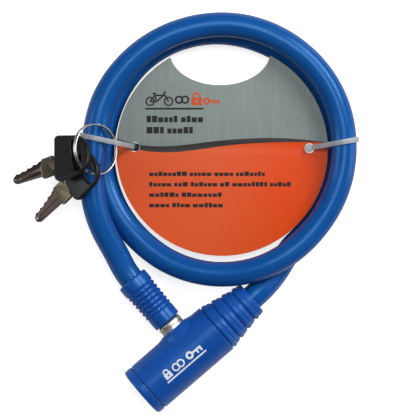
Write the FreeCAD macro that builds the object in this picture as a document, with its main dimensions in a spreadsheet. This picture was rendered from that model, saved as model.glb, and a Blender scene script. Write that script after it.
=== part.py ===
import FreeCAD, Part
import math
import os
import Sketcher
from FreeCAD import Matrix, Placement, Rotation, Vector

# Keyed cable lock for a bicycle, lying flat, with a display card, two cable ties and two keys
# on a split ring. Millimetres, +Z up, z = 0 is the table. The origin is the middle of the
# coiled cable, +X is to the right and +Y away from the lock body.
#
# Body frame: x runs from the keyed end to the cable, y is the side the pin enters, z is up.

DIMS = {
    # cable: its two levels are the centre heights of the lower and upper turn
    "cable_rad": 5.2, "rope_rad": 1.9, "rope_clear": 0.03, "level_low": 6.27, "level_high": 16.75,
    # lock cover and end cap
    "body_rad": 11.0, "body_len": 60.8, "cap_len": 3.75, "body_gap": 0.2, "cap_hole_rad": 5.45,
    "barrel_end": 41.3, "cover_clear": 0.05, "boss_start": 8.2, "boss_top": 11.6,
    "boss_root_rad": 7.7, "boss_rad": 6.8, "boss_hole": 5.5,
    # place of the body frame, and of the pin axis along it
    "body_x": -32.9, "body_y": -100.7, "body_turn": 40.7, "pin_station": 27.9,
    # housing, plug and wafers
    "housing_rad": 9.1, "housing_start": 2.05, "housing_end": 43.1,
    "plug_rad": 5.25, "plug_start": 0.35, "plug_end": 21.1, "plug_clear": 0.05,
    "keyway_wide": 2.0, "keyway_tall": 7.0, "keyway_end": 17.5,
    "wafer_thick": 0.95, "wafer_pitch": 2.5, "wafer_first": 4.4,
    "stub_rad": 0.8, "stub_off": 3.0, "stub_end": 22.35,
    "clip_rad": 6.1, "clip_thick": 0.7, "clip_start": 19.65, "bolt_thick": 1.6,
    # locking pin and the parts turned about its axis
    "pin_rad": 4.0, "pin_clear": 0.06, "neck_rad": 2.4, "shank_rad": 3.2, "collar_rad": 5.35,
    "sleeve_start": 15.4, "sleeve_end": 38.5, "sleeve_front_rad": 6.1, "sleeve_back_rad": 6.75,
    "crimp_rad": 3.0,
    # lock-end ferrule and its cross pin
    "ferrule_rad": 3.5, "cross_rad": 0.9, "cross_len": 15.6, "cross_along": 39.0,
    "cross_side": 3.3,
    # display card and cable ties
    "card_rad": 44.0, "card_thick": 0.45, "card_level": 11.2, "card_x": 0.7, "card_y": 0.25,
    "notch_major": 20.8, "notch_minor": 13.7, "card_hole": 2.0,
    "strap_wide": 2.2, "strap_thick": 0.9, "tie_head": 1.7,
    # split ring
    "ring_rad": 10.35, "ring_wire": 0.46, "ring_pitch": 0.95, "ring_turns": 1.93,
    "ring_x": -51.3, "ring_y": 0.25, "ring_level": 26.3, "ring_tilt": 39.3, "ring_lean": 7.5,
    # keys: tilt in degrees for the lower one, x and y parts of the unit normal for the upper one
    "key_tilt": 35.0, "top_key_tilt": 0.575, "top_key_lean": 0.25,
    "touch_x": -62.0, "touch_y": 3.0, "head_thick": 2.4, "head_gap": 0.08, "blade_thick": 1.5,
}

doc = FreeCAD.newDocument("cable_lock")
sheet = doc.addObject("Spreadsheet::Sheet", "dims")
for row, (alias, value) in enumerate(DIMS.items(), 1):
    sheet.set("A%d" % row, alias)
    sheet.set("B%d" % row, str(value))
    sheet.setAlias("B%d" % row, alias)
doc.recompute()
size = {alias: float(sheet.get(alias)) for alias in DIMS}

UP = Vector(0, 0, 1)
ALONG_X = Rotation(Vector(0, 1, 0), 90)
ALONG_Y = Rotation(Vector(1, 0, 0), -90)
ROPE_HOLE = "dims.rope_rad+dims.rope_clear"
PIECES = []


# ---- helpers: a text value is an expression on the sheet, a number is used as it is ----------
def bind(ob, prop, value):
    if isinstance(value, str):
        ob.setExpression(prop, value)
    else:
        setattr(ob, prop, value)


def primitive(kind, name, at, turn=None, **sizes):
    ob = doc.addObject("Part::" + kind, name)
    base = Vector(*[0 if isinstance(value, str) else value for value in at])
    ob.Placement = Placement(base, turn or Rotation())
    for axis, value in zip("xyz", at):
        if isinstance(value, str):
            ob.setExpression("Placement.Base." + axis, value)
    for prop, value in sizes.items():
        bind(ob, prop, value)
    return ob


def cylinder(name, radius, length, at, turn=None):
    return primitive("Cylinder", name, at, turn, Radius=radius, Height=length)


def on_body_axis(name, radius, length, start):
    return cylinder(name, radius, length, (start, 0, 0), ALONG_X)


def on_pin_axis(name, radius, length, start):
    return cylinder(name, radius, length, ("dims.pin_station", start, 0), ALONG_Y)


def box(name, sides, at):
    return primitive("Box", name, at, Length=sides[0], Width=sides[1], Height=sides[2])


def fuse(name, shapes):
    ob = doc.addObject("Part::MultiFuse", name)
    ob.Shapes = shapes
    return ob


def cut(name, base, tools):
    ob = doc.addObject("Part::Cut", name)
    ob.Base = base
    ob.Tool = fuse(name + "_tools", tools) if len(tools) > 1 else tools[0]
    return ob


def feature(name, shape):
    ob = doc.addObject("Part::Feature", name)
    ob.Shape = shape
    return ob


def compound(name, links):
    ob = doc.addObject("Part::Compound", name)
    ob.Links = links
    return ob


def number(value):
    """The number a profile coordinate gives; its text may only add and subtract."""
    if not isinstance(value, str):
        return float(value)
    total = 0.0
    for term in value.replace("-", "+-").split("+"):
        word = term.lstrip("-")
        amount = size[word[5:]] if word.startswith("dims.") else float(word)
        total += -amount if term.startswith("-") else amount
    return total


def profile(name, points):
    """Closed sketch through (x, y) points, every coordinate constrained."""
    sketch = doc.addObject("Sketcher::SketchObject", name)
    corners = [(number(x), number(y)) for x, y in points]
    count = len(corners)
    for i in range(count):
        ends = [Vector(*corners[i], 0), Vector(*corners[(i + 1) % count], 0)]
        sketch.addGeometry(Part.LineSegment(*ends), False)
    for i in range(count):
        sketch.addConstraint(Sketcher.Constraint("Coincident", i, 2, (i + 1) % count, 1))
    for i in range(count):
        for kind, zero_axis, value, place in (("DistanceX", -2, points[i][0], corners[i][0]),
                                              ("DistanceY", -1, points[i][1], corners[i][1])):
            if not isinstance(value, str) and abs(place) < 1e-9:
                sketch.addConstraint(Sketcher.Constraint("PointOnObject", i, 1, zero_axis))
                continue
            index = sketch.addConstraint(Sketcher.Constraint(kind, -1, 1, i, 1, place))
            if isinstance(value, str):
                sketch.setExpression("Constraints[%d]" % index, value)
    return sketch


def turned(name, points, axis=Vector(1, 0, 0)):
    ob = doc.addObject("Part::Revolution", name)
    ob.Source = profile(name + "_profile", points)
    ob.Axis = axis
    ob.Angle = 360
    ob.Solid = True
    return ob


def extruded(name, base, height):
    ob = doc.addObject("Part::Extrusion", name)
    ob.Base = base
    ob.DirMode = "Custom"
    ob.Dir = UP
    bind(ob, "LengthFwd", height)
    ob.Solid = True
    return ob


def finish(ob, label):
    ob.Label = label
    PIECES.append(ob)


def finish_in_body(ob, label, shift_x="", shift_y=""):
    """Stands a piece in the body frame; the shifts are expressions added to its x and y."""
    ob.Placement = Placement(Vector(), Rotation(UP, size["body_turn"]))
    ob.setExpression("Placement.Base.x", "dims.body_x" + shift_x)
    ob.setExpression("Placement.Base.y", "dims.body_y" + shift_y)
    ob.setExpression("Placement.Base.z", "dims.body_rad")
    ob.setExpression("Placement.Rotation.Angle", "dims.body_turn")
    finish(ob, label)


def finish_on_pin(name, points, label):
    """Turned about the pin axis; points are (radius, distance from the body axis)."""
    finish_in_body(turned(name, points, Vector(0, 1, 0)), label,
                   "+dims.pin_station*cos(dims.body_turn*1deg)",
                   "+dims.pin_station*sin(dims.body_turn*1deg)")


# ---- shared places ---------------------------------------------------------------------------
BODY = Placement(Vector(size["body_x"], size["body_y"], size["body_rad"]),
                 Rotation(UP, size["body_turn"]))
WAFER_STATIONS = [size["wafer_first"] + i * size["wafer_pitch"] for i in range(5)]
# The plug is shown turned to the open position, its stub at 45 degrees.
STUB_PLACE = size["stub_off"] * math.cos(math.radians(45))
RING = Placement(Vector(size["ring_x"], size["ring_y"], size["ring_level"]),
                 Rotation(UP, size["ring_lean"]).multiply(
                     Rotation(Vector(0, 1, 0), size["ring_tilt"])))


def ring_point(degrees):
    angle = math.radians(degrees)
    return RING.multVec(Vector(size["ring_rad"] * math.cos(angle),
                               size["ring_rad"] * math.sin(angle), 0))


# ---- lock cover and end cap ------------------------------------------------------------------
COVER_END_RAD = 5.0
BAND_PITCH = 4.75
# radius at the start and at the end of each tapering band
COVER_BANDS = [(10.9, 9.75), (9.95, 8.85), (9.05, 7.95), (8.15, 7.35)]


def make_cover():
    points = [("dims.cap_len+dims.body_gap", COVER_END_RAD),
              ("dims.cap_len+dims.body_gap", "dims.body_rad-0.35"),
              ("dims.cap_len+dims.body_gap+0.35", "dims.body_rad"),
              ("dims.barrel_end", "dims.body_rad"),
              ("dims.barrel_end+0.15", "dims.body_rad-0.9"),
              ("dims.barrel_end+0.55", "dims.body_rad-0.9")]
    for i, (start_rad, end_rad) in enumerate(COVER_BANDS):
        start = size["barrel_end"] + 0.55 + i * BAND_PITCH
        points += [(start, start_rad - 0.15), (start + 0.25, start_rad)]
        if i < len(COVER_BANDS) - 1:
            # end of the band and the groove after it
            points += [(start + 4.2, end_rad), (start + 4.3, end_rad - 0.75),
                       (start + 4.65, end_rad - 0.75)]
    points += [("dims.body_len", COVER_BANDS[-1][1]), ("dims.body_len", COVER_END_RAD)]
    shell = turned("cover_turned", points)
    boss = primitive("Cone", "cover_boss", ("dims.pin_station", "dims.boss_start", 0), ALONG_Y,
                     Radius1="dims.boss_root_rad", Radius2="dims.boss_rad",
                     Height="dims.boss_top-dims.boss_start")
    cover = cut("lock_cover", fuse("cover_full", [shell, boss]), [
        on_body_axis("cover_bore", "dims.housing_rad+dims.cover_clear", 40.25, 3.0),
        on_body_axis("cover_cable_bore", "dims.cable_rad+0.05", 30.0, 42.0),
        on_pin_axis("cover_side_hole", "dims.boss_hole", 8.0, 6.0),
        box("cover_notch", (0.9, 2.2, 1.6), (3.9, 7.6, 6.9)),
    ])
    finish_in_body(cover, "lock_cover")


def make_end_cap():
    web_end = 2.0
    cap = turned("cap_turned", [
        (0, "dims.cap_hole_rad+0.5"), (0, "dims.body_rad-1.3"), (0.4, "dims.body_rad-0.45"),
        (1.2, "dims.body_rad"), ("dims.cap_len-0.3", "dims.body_rad"),
        ("dims.cap_len", "dims.body_rad-0.3"),
        ("dims.cap_len", "dims.housing_rad+dims.cover_clear"),
        (web_end, "dims.housing_rad+dims.cover_clear"),
        (web_end, "dims.cap_hole_rad"), (0.5, "dims.cap_hole_rad")])
    finish_in_body(cap, "end_cap")


# ---- metal housing ---------------------------------------------------------------------------
def make_housing():
    blank = on_body_axis("housing_blank", "dims.housing_rad",
                         "dims.housing_end-dims.housing_start", "dims.housing_start")
    housing = cut("housing_cut", blank, [
        on_body_axis("housing_plug_bore", "dims.plug_rad+dims.plug_clear", 20.0, 1.3),
        on_body_axis("housing_clip_room", "dims.clip_rad+0.15", "dims.clip_thick+0.2",
                     "dims.clip_start-0.1"),
        box("housing_drive_room", (1.25, 4.1, 11.05), (21.2, 0.55, -4.05)),
        box("housing_fork_room", (11.2, 1.7, 8.0), (22.2, 1.75, -0.3)),
        on_pin_axis("housing_pin_bore", "dims.pin_rad+dims.pin_clear", 16.0, -5.6),
        on_body_axis("housing_ferrule_bore", "dims.ferrule_rad+0.06", 10.0, 34.1),
        cylinder("housing_cross_bore", "dims.cross_rad+0.02", 20.0,
                 ("dims.cross_along", "dims.cross_side", -10.0)),
    ])
    finish_in_body(housing, "lock_housing")


# ---- plug, wafers, springs and clip ----------------------------------------------------------
def make_plug():
    slot_long = 1.05
    tools = [box("plug_keyway", ("dims.keyway_end", "dims.keyway_tall", "dims.keyway_wide"),
                 (0, "-dims.keyway_tall/2", "-dims.keyway_wide/2")),
             box("plug_keyway_ward", ("dims.keyway_end", 1.2, 1.1), (0, -0.3, -1.7))]
    for i, x in enumerate(WAFER_STATIONS):
        start = x - slot_long / 2
        tools.append(box("plug_slot_%d" % i, (slot_long, 12.0, 4.7), (start, -6.0, -2.35)))
        tools.append(box("plug_spring_room_%d" % i, (slot_long, 4.6, 1.7), (start, -1.9, 2.3)))
    tools.append(cut("plug_groove_ring",
                     on_body_axis("plug_groove_out", 7.0, "dims.clip_thick+0.1",
                                  "dims.clip_start-0.05"),
                     [on_body_axis("plug_groove_in", 4.45, 1.2, 19.4)]))
    barrel = on_body_axis("plug_barrel", "dims.plug_rad", "dims.plug_end-dims.plug_start",
                          "dims.plug_start")
    stub = cylinder("plug_stub", "dims.stub_rad", "dims.stub_end-dims.plug_end+0.5",
                    ("dims.plug_end-0.5", STUB_PLACE, STUB_PLACE), ALONG_X)
    finish_in_body(cut("plug_cut", fuse("plug_full", [barrel, stub]), tools), "plug")


def make_wafers():
    wafers = []
    for i, x in enumerate(WAFER_STATIONS):
        start = x - size["wafer_thick"] / 2
        blank = fuse("wafer_full_%d" % i, [
            box("wafer_plate_%d" % i, ("dims.wafer_thick", 8.9, 4.5), (start, -4.45, -2.25)),
            box("wafer_lug_%d" % i, ("dims.wafer_thick", 0.9, 1.6), (start, 1.6, 2.1))])
        window = box("wafer_window_%d" % i, (2.0, 6.0, 2.3),
                     (x - 1.0, -3.6 + 0.25 * (i % 3), -1.15))
        wafers.append(cut("wafer_%d" % i, blank, [window]))
    finish_in_body(compound("wafer_group", wafers), "wafer_tumblers")


def coil(pitch, height, radius, wire_rad):
    """Round wire swept along a helix that rises from z = 0."""
    path = Part.Wire(Part.makeHelix(pitch, height, radius))
    section = Part.Wire(Part.makeCircle(wire_rad, Vector(radius, 0, 0), Vector(0, 1, 0)))
    return path.makePipeShell([section], True, True)


def make_wafer_springs():
    """One small return spring to each wafer."""
    springs = []
    for x in WAFER_STATIONS:
        spring = coil(pitch=0.62, height=2.9, radius=0.36, wire_rad=0.1)
        spring.Placement = Placement(Vector(x, -1.72, 3.15), ALONG_Y)
        springs.append(spring)
    finish_in_body(feature("wafer_springs_shape", Part.makeCompound(springs)), "wafer_springs")


def make_clip():
    clip = cut("clip_ring",
               on_body_axis("clip_out", "dims.clip_rad", "dims.clip_thick", "dims.clip_start"),
               [on_body_axis("clip_in", 4.5, 3.0, 19.0),
                box("clip_mouth", (3.0, 5.0, 8.0), (19.0, -2.5, -9.0))])
    finish_in_body(clip, "plug_clip")


# ---- locking bolt, drawn up clear of the pin -------------------------------------------------
def make_bolt():
    drive_slot_tall = 1.84
    blank = fuse("bolt_full", [
        box("bolt_flange", (1.1, 3.9, 6.4), (21.28, 0.65, 0.45)),
        box("bolt_fork", (10.92, "dims.bolt_thick", 3.48), (22.36, 1.8, 4.12))])
    bolt = cut("bolt_cut", blank, [
        box("bolt_drive_slot", (3.0, 2.85, drive_slot_tall),
            (20.5, 1.1, STUB_PLACE - drive_slot_tall / 2)),
        box("bolt_fork_slot", (5.0, 4.0, 2.75), ("dims.pin_station-2.5", 0.7, 4.0))])
    finish_in_body(bolt, "locking_bolt")


# ---- lock-end ferrule and its cross pin ------------------------------------------------------
def make_ferrule():
    front, back = 34.3, 43.0
    # the groove that the cross pin passes through
    groove_front, groove_back = "dims.cross_along-1.1", "dims.cross_along+1.1"
    groove_rad = "dims.cross_side-dims.cross_rad-0.02"
    ferrule = turned("ferrule_turned", [
        (front, ROPE_HOLE), (front, "dims.ferrule_rad-0.3"), (front + 0.3, "dims.ferrule_rad"),
        (groove_front, "dims.ferrule_rad"), (groove_front, groove_rad),
        (groove_back, groove_rad), (groove_back, "dims.ferrule_rad"),
        (back, "dims.ferrule_rad"), (back, ROPE_HOLE)])
    finish_in_body(ferrule, "lock_end_ferrule")


def make_cross_pin():
    pin = cylinder("ferrule_cross_pin_body", "dims.cross_rad", "dims.cross_len",
                   ("dims.cross_along", "dims.cross_side", "-dims.cross_len/2"))
    finish_in_body(compound("cross_group", [pin]), "ferrule_cross_pin")


# ---- locking pin, collar, crimp and sleeve ---------------------------------------------------
# Profile points are (radius, distance out from the body axis).
PIN_PROFILE = [
    (0, -5.2), ("dims.pin_rad-0.9", -5.2), ("dims.pin_rad", -4.2), ("dims.pin_rad", 1.68),
    ("dims.neck_rad", 1.7), ("dims.neck_rad", 3.5), ("dims.pin_rad", 3.52),
    ("dims.pin_rad", 9.4), ("dims.shank_rad", 9.5), ("dims.shank_rad", 21.8),
    (ROPE_HOLE, 21.8), (ROPE_HOLE, 16.0), (0, 16.0)]
COLLAR_PROFILE = [
    ("dims.shank_rad+0.03", 9.65), ("dims.collar_rad-0.4", 9.65), ("dims.collar_rad", 10.05),
    ("dims.collar_rad", 14.5), ("dims.collar_rad-0.25", 15.1), ("dims.collar_rad-0.7", 15.35),
    ("dims.shank_rad+0.03", 15.35)]
CRIMP_PROFILE = [
    (ROPE_HOLE, 21.95), ("dims.crimp_rad", 21.95), ("dims.crimp_rad", 24.2), (2.75, 24.5),
    (2.75, 26.6), ("dims.crimp_rad", 26.9), ("dims.crimp_rad", 29.2), (ROPE_HOLE, 29.2)]
RIB_COUNT = 6
RIB_START = 20.75
RIB_PITCH = 2.07
SLEEVE_STEP = 29.6  # where the sleeve bore widens from the shank to the cable


def make_sleeve():
    shank_bore, cable_bore = "dims.shank_rad+0.04", "dims.cable_rad+0.05"
    points = [(shank_bore, "dims.sleeve_start"),
              ("dims.sleeve_front_rad-0.4", "dims.sleeve_start"),
              ("dims.sleeve_front_rad", 15.8), (6.15, 20.5)]
    for i in range(RIB_COUNT):
        y = RIB_START + i * RIB_PITCH
        share = (y - size["sleeve_start"]) / (size["sleeve_end"] - size["sleeve_start"])
        valley = 5.55 + 0.45 * share
        crest = 6.2 + 0.55 * share
        points += [(valley, y), (crest - 0.12, y + 0.42), (crest, y + 0.8), (crest, y + 1.2),
                   (crest - 0.12, y + 1.55), (valley, y + 1.9)]
    points += [(6.55, 33.3), ("dims.sleeve_back_rad", 33.8),
               ("dims.sleeve_back_rad", "dims.sleeve_end-0.6"),
               ("dims.sleeve_back_rad-0.6", "dims.sleeve_end"),
               (cable_bore, "dims.sleeve_end"), (cable_bore, SLEEVE_STEP),
               (shank_bore, SLEEVE_STEP)]
    finish_on_pin("sleeve_turned", points, "pin_sleeve")


def make_pin_parts():
    finish_on_pin("pin_profile_turned", PIN_PROFILE, "locking_pin")
    finish_on_pin("collar_turned", COLLAR_PROFILE, "pin_collar")
    finish_on_pin("crimp_turned", CRIMP_PROFILE, "pin_end_crimp")
    make_sleeve()


# ---- cable: one continuous curve, about one and two thirds turns -----------------------------
COIL_X, COIL_Y = -0.5395, 0.249
# x, y, z of the centre line from the lock body to the coil
LEAD_IN = [(18.76, -55.78, 9.5), (24.36, -48.51, 7.1), (28.93, -41.46, 6.35)]
# angle in degrees and radius about the coil centre
LOWER_TURN = [
    (-40, 50.132), (-20, 49.8), (0, 50.0075), (20, 49.5925), (40, 49.302), (58, 48.887),
    (76, 48.887), (95, 49.219), (115, 49.385), (135, 49.0945), (155, 48.555), (175, 48.472)]
CLIMB = [(212, 49.302), (228, 49.717), (244, 50.547), (260, 51.211), (276, 51.626)]
UPPER_TURN = [
    (0, 51.792), (20, 52.207), (40, 52.29), (60, 52.124), (80, 51.958), (100, 51.5845),
    (120, 51.543), (140, 51.709), (160, 51.875)]
# angle, radius and z where the cable passes over its own start
CROSSING = [(292, 51.709, 17.35), (308, 51.46, 17.6), (325, 51.294, 17.2), (342, 51.543, 16.9)]
CLIMB_START, CLIMB_SPAN = 185.0, 115.0  # degrees

# The cable is straight where it lies inside the body and the sleeve.
CABLE_START = BODY.multVec(Vector(size["body_len"] + 0.3, 0, 0))
CABLE_END = BODY.multVec(Vector(size["pin_station"], size["sleeve_end"] + 0.3, 0))
OUT_OF_BODY = BODY.Rotation.multVec(Vector(1, 0, 0))
INTO_SLEEVE = BODY.Rotation.multVec(Vector(0, -1, 0))


def coil_point(degrees, radius, z):
    angle = math.radians(degrees)
    return Vector(radius * math.cos(angle) + COIL_X, radius * math.sin(angle) + COIL_Y, z)


def climb_level(degrees):
    """Smooth rise from the lower to the upper level."""
    share = min(max((degrees - CLIMB_START) / CLIMB_SPAN, 0.0), 1.0)
    rise = size["level_high"] - size["level_low"]
    return size["level_low"] + rise * share * share * (3 - 2 * share)


def cable_curve():
    low, high = size["level_low"], size["level_high"]
    # x, y, z of the centre line from the coil to the pin sleeve
    lead_out = [(-52.66, -3.07, high), (-53.0, -13.86, high - 0.3), (-51.5, -24.24, 15.9),
                (-48.18, -33.45, 14.4), (-43.28, -42.5, 12.3)]
    points = [CABLE_START] + [Vector(*place) for place in LEAD_IN]
    points += [coil_point(angle, radius, low) for angle, radius in LOWER_TURN]
    points.append(coil_point(195, 48.887, low + 0.35))
    points += [coil_point(angle, radius, climb_level(angle)) for angle, radius in CLIMB]
    points += [coil_point(*station) for station in CROSSING]
    points += [coil_point(angle, radius, high) for angle, radius in UPPER_TURN]
    points += [Vector(*place) for place in lead_out] + [CABLE_END]
    # the curve parameter is the chord length run so far
    marks = [0.0]
    for before, after in zip(points, points[1:]):
        marks.append(marks[-1] + after.sub(before).Length)
    curve = Part.BSplineCurve()
    curve.interpolate(Points=points, Parameters=marks, InitialTangent=OUT_OF_BODY,
                      FinalTangent=INTO_SLEEVE, Scale=False)
    return curve


def cable_solid(curve, radius, body_station, pin_distance):
    """Round bar along the curve, run on straight to a body station and a pin distance."""
    first = BODY.multVec(Vector(body_station, 0, 0))
    last = BODY.multVec(Vector(size["pin_station"], pin_distance, 0))
    pipe = Part.BRepOffsetAPI.MakePipeShell(Part.Wire([curve.toShape()]))
    pipe.setBiNormalMode(UP)
    pipe.add(Part.Wire(Part.makeCircle(radius, CABLE_START, OUT_OF_BODY)))
    pipe.build()
    pipe.makeSolid()
    return pipe.shape().fuse([
        Part.makeCylinder(radius, CABLE_START.sub(first).Length, first, OUT_OF_BODY),
        Part.makeCylinder(radius, last.sub(CABLE_END).Length, CABLE_END, INTO_SLEEVE)])


def make_cable(curve):
    outer = cable_solid(curve, size["cable_rad"], 44.2, 30.6)
    hole = cable_solid(curve, size["rope_rad"] + size["rope_clear"], 43.3, 30.0)
    rope = cable_solid(curve, size["rope_rad"], 35.4, 17.0)
    finish(feature("jacket_shape", outer.cut(hole)), "cable_jacket")
    finish(feature("rope_shape", rope), "steel_rope")


# ---- display card ----------------------------------------------------------------------------
# x and y of the two holes the ties pass through
LEFT_HOLE, RIGHT_HOLE = (-35.4, 1.5), (37.0, 1.0)


def make_card():
    outline = primitive("Ellipse", "card_notch_outline", (-0.1, 40.9, 10.0),
                        MajorRadius="dims.notch_major", MinorRadius="dims.notch_minor")
    disc = cylinder("card_disc", "dims.card_rad", "dims.card_thick",
                    ("dims.card_x", "dims.card_y", "dims.card_level"))
    card = cut("card_cut", disc, [
        extruded("card_notch", outline, 3.0),
        cylinder("card_hole_left", "dims.card_hole", 4.0, (*LEFT_HOLE, 9.0)),
        cylinder("card_hole_right", "dims.card_hole", 4.0, (*RIGHT_HOLE, 9.0))])
    finish(card, "display_card")


# ---- cable ties: a flat strap drawn round the strands and through the card -------------------
# Tie plane: x outward from the card hole, y up. Circles are (x, y, radius).
LEFT_HEADING, RIGHT_HEADING = 168.2, 10.1  # degrees from +X
CARD_EDGE_CIRCLE = (0.6, 11.4, 0.42)
RING_CIRCLE_RAD = 2.05
STRAND_SLACK = 0.05
STRAP_CLEAR = 0.1
TIE_REACH = 30
CURVE_STEPS = 6000


def hull(circles, extra):
    """Closed outline of arcs and tangents round circles given counter-clockwise."""
    def rim(circle, angle):
        x, y, radius = circle
        return Vector(x + (radius + extra) * math.cos(angle),
                      y + (radius + extra) * math.sin(angle), 0)

    count = len(circles)
    angles = []
    for i in range(count):
        x1, y1, rad1 = circles[i]
        x2, y2, rad2 = circles[(i + 1) % count]
        gap = math.hypot(x2 - x1, y2 - y1)
        angles.append(math.atan2(y2 - y1, x2 - x1) - math.acos((rad1 - rad2) / gap))
    edges = []
    for i in range(count):
        circle = circles[(i + 1) % count]
        start, end = angles[i], angles[(i + 1) % count]
        while end < start:
            end += 2 * math.pi
        edges.append(Part.LineSegment(rim(circles[i], start), rim(circle, start)).toShape())
        edges.append(Part.Arc(rim(circle, start), rim(circle, (start + end) / 2),
                              rim(circle, end)).toShape())
    return Part.Wire(edges)


def outward(point, hole, heading):
    angle = math.radians(heading)
    return (point.x - hole[0]) * math.cos(angle) + (point.y - hole[1]) * math.sin(angle)


def strand_circles(curve, hole, heading):
    """Circles round the lower and upper strand where the centre line meets the tie plane."""
    angle = math.radians(heading)
    begin, end = curve.FirstParameter, curve.LastParameter
    found = []
    last_side = None
    for i in range(CURVE_STEPS + 1):
        point = curve.value(begin + (end - begin) * i / CURVE_STEPS)
        side = -(point.x - hole[0]) * math.sin(angle) + (point.y - hole[1]) * math.cos(angle)
        out = outward(point, hole, heading)
        if last_side is not None and side * last_side < 0 and 0 < out < TIE_REACH:
            found.append((out, point.z, size["cable_rad"] + STRAND_SLACK))
        last_side = side
    return sorted(found, key=lambda circle: circle[1])[:2]


def make_tie(label, circles, hole, heading, head):
    inner = hull(circles, STRAP_CLEAR)
    outer = hull(circles, STRAP_CLEAR + size["strap_thick"])
    band = Part.Face(outer).cut(Part.Face(inner)).extrude(Vector(0, 0, size["strap_wide"]))
    band.translate(Vector(0, 0, -size["strap_wide"] / 2))
    band = band.fuse(head).removeSplitter()
    # stand the tie plane up and turn it to its heading
    band.Placement = Placement(Vector(*hole, 0), Rotation(UP, heading)).multiply(
        Placement(Vector(), Rotation(Vector(1, 0, 0), 90)))
    finish(feature(label + "_shape", band), label)


def make_ties(curve):
    head = size["tie_head"]
    # the left tie also goes round the split ring
    catch = ring_point(0)
    ring_circle = (outward(catch, LEFT_HOLE, LEFT_HEADING), catch.z, RING_CIRCLE_RAD)
    left = [CARD_EDGE_CIRCLE] + strand_circles(curve, LEFT_HOLE, LEFT_HEADING) + [ring_circle]
    make_tie("cable_tie_left", left, LEFT_HOLE, LEFT_HEADING,
             Part.makeBox(2 * head, 2.7, 2 * head, Vector(-head, 7.9, -head)))
    right = [CARD_EDGE_CIRCLE] + strand_circles(curve, RIGHT_HOLE, RIGHT_HEADING)
    make_tie("cable_tie_right", right, RIGHT_HOLE, RIGHT_HEADING,
             Part.makeCylinder(head, 1.5, Vector(-0.2, 12.1, 0), Vector(0, 1, 0)))


# ---- split ring: two close turns of wire -----------------------------------------------------
def make_split_ring():
    wire_end_turn = 100  # degrees round the ring
    height = size["ring_turns"] * size["ring_pitch"]
    ring = feature("split_ring_shape",
                   coil(size["ring_pitch"], height, size["ring_rad"], size["ring_wire"]))
    ring.Placement = RING.multiply(
        Placement(Vector(0, 0, -height / 2), Rotation(UP, wire_end_turn)))
    finish(ring, "split_ring")


# ---- keys ------------------------------------------------------------------------------------
# Each key lies in its own slanted plane: key 2 underneath, key 1 resting across it.
# Key frame: x from the blade's root at the head to its tip, z across the thickness.
# blade outline as (x, y); its part at negative x sits inside the head
BLADE = [
    (-7.0, -2.4), (0, -2.4), (0, -4.3), (5.7, -4.3), (6.0, -3.75), (7.4, -3.55), (8.0, -3.0),
    (9.2, -3.0), (10.1, -3.3), (10.9, -2.5), (12.2, -2.4), (13.1, -2.8), (13.8, -1.95),
    (15.2, -1.9), (16.0, -2.4), (16.7, -1.7), (18.1, -1.6), (19.0, -2.05), (19.9, -1.35),
    (20.9, -0.6), (21.1, 0.4), (20.6, 1.6), (19.6, 2.15), (6.2, 3.0), (5.9, 4.1), (5.0, 4.3),
    (0, 4.3), (0, 2.4), (-7.0, 2.4)]
# head corners as (x, y, corner radius)
HEAD = [(0.3, 8.2, 3.0), (-2.0, -12.6, 1.8), (-18.4, -7.2, 8.6), (-18.4, 8.2, 7.2)]
ARC_STEPS = 8
# the slot in the head: y of its middle, end radius, half distance between the end centres,
# and how far its middle lies from the ring wire in x
SLOT_Y, SLOT_RAD, SLOT_HALF, SLOT_SHIFT = -0.3, 2.4, 4.7, 0.45
POCKET_CLEAR = 0.02  # over and under the blade


def rounded(corners):
    """Points of an outline with its corners turned to arcs."""
    points = []
    for i, (x, y, radius) in enumerate(corners):
        corner = Vector(x, y, 0)
        back = Vector(*corners[i - 1][:2], 0).sub(corner).normalize()
        ahead = Vector(*corners[(i + 1) % len(corners)][:2], 0).sub(corner).normalize()
        half = back.getAngle(ahead) / 2
        bisector = back.add(ahead).normalize()
        centre = corner.add(bisector * (radius / math.sin(half)))
        reach = radius / math.tan(half)
        start = corner.add(back * reach).sub(centre)
        end = corner.add(ahead * reach).sub(centre)
        first = math.atan2(start.y, start.x)
        sweep = (math.atan2(end.y, end.x) - first + math.pi) % (2 * math.pi) - math.pi
        for step in range(ARC_STEPS + 1):
            angle = first + sweep * step / ARC_STEPS
            points.append((centre.x + radius * math.cos(angle),
                           centre.y + radius * math.sin(angle)))
    return points


def plane_level(normal, point, x, y):
    """Height at (x, y) of the plane through a point."""
    return point.z - (normal.x * (x - point.x) + normal.y * (y - point.y)) / normal.z


def key_frame(tip, root, normal, point):
    base = Vector(*root, plane_level(normal, point, *root))
    end = Vector(*tip, plane_level(normal, point, *tip))
    x = end.sub(base).normalize()
    y = normal.cross(x)
    return Placement(Matrix(x.x, y.x, normal.x, base.x,
                            x.y, y.y, normal.y, base.y,
                            x.z, y.z, normal.z, base.z,
                            0, 0, 0, 1))


def plate(name, points, thickness, middle):
    outline = profile(name + "_outline", points)
    outline.Placement = Placement(Vector(0, 0, middle - size[thickness] / 2), Rotation())
    return extruded(name, outline, "dims." + thickness)


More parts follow.
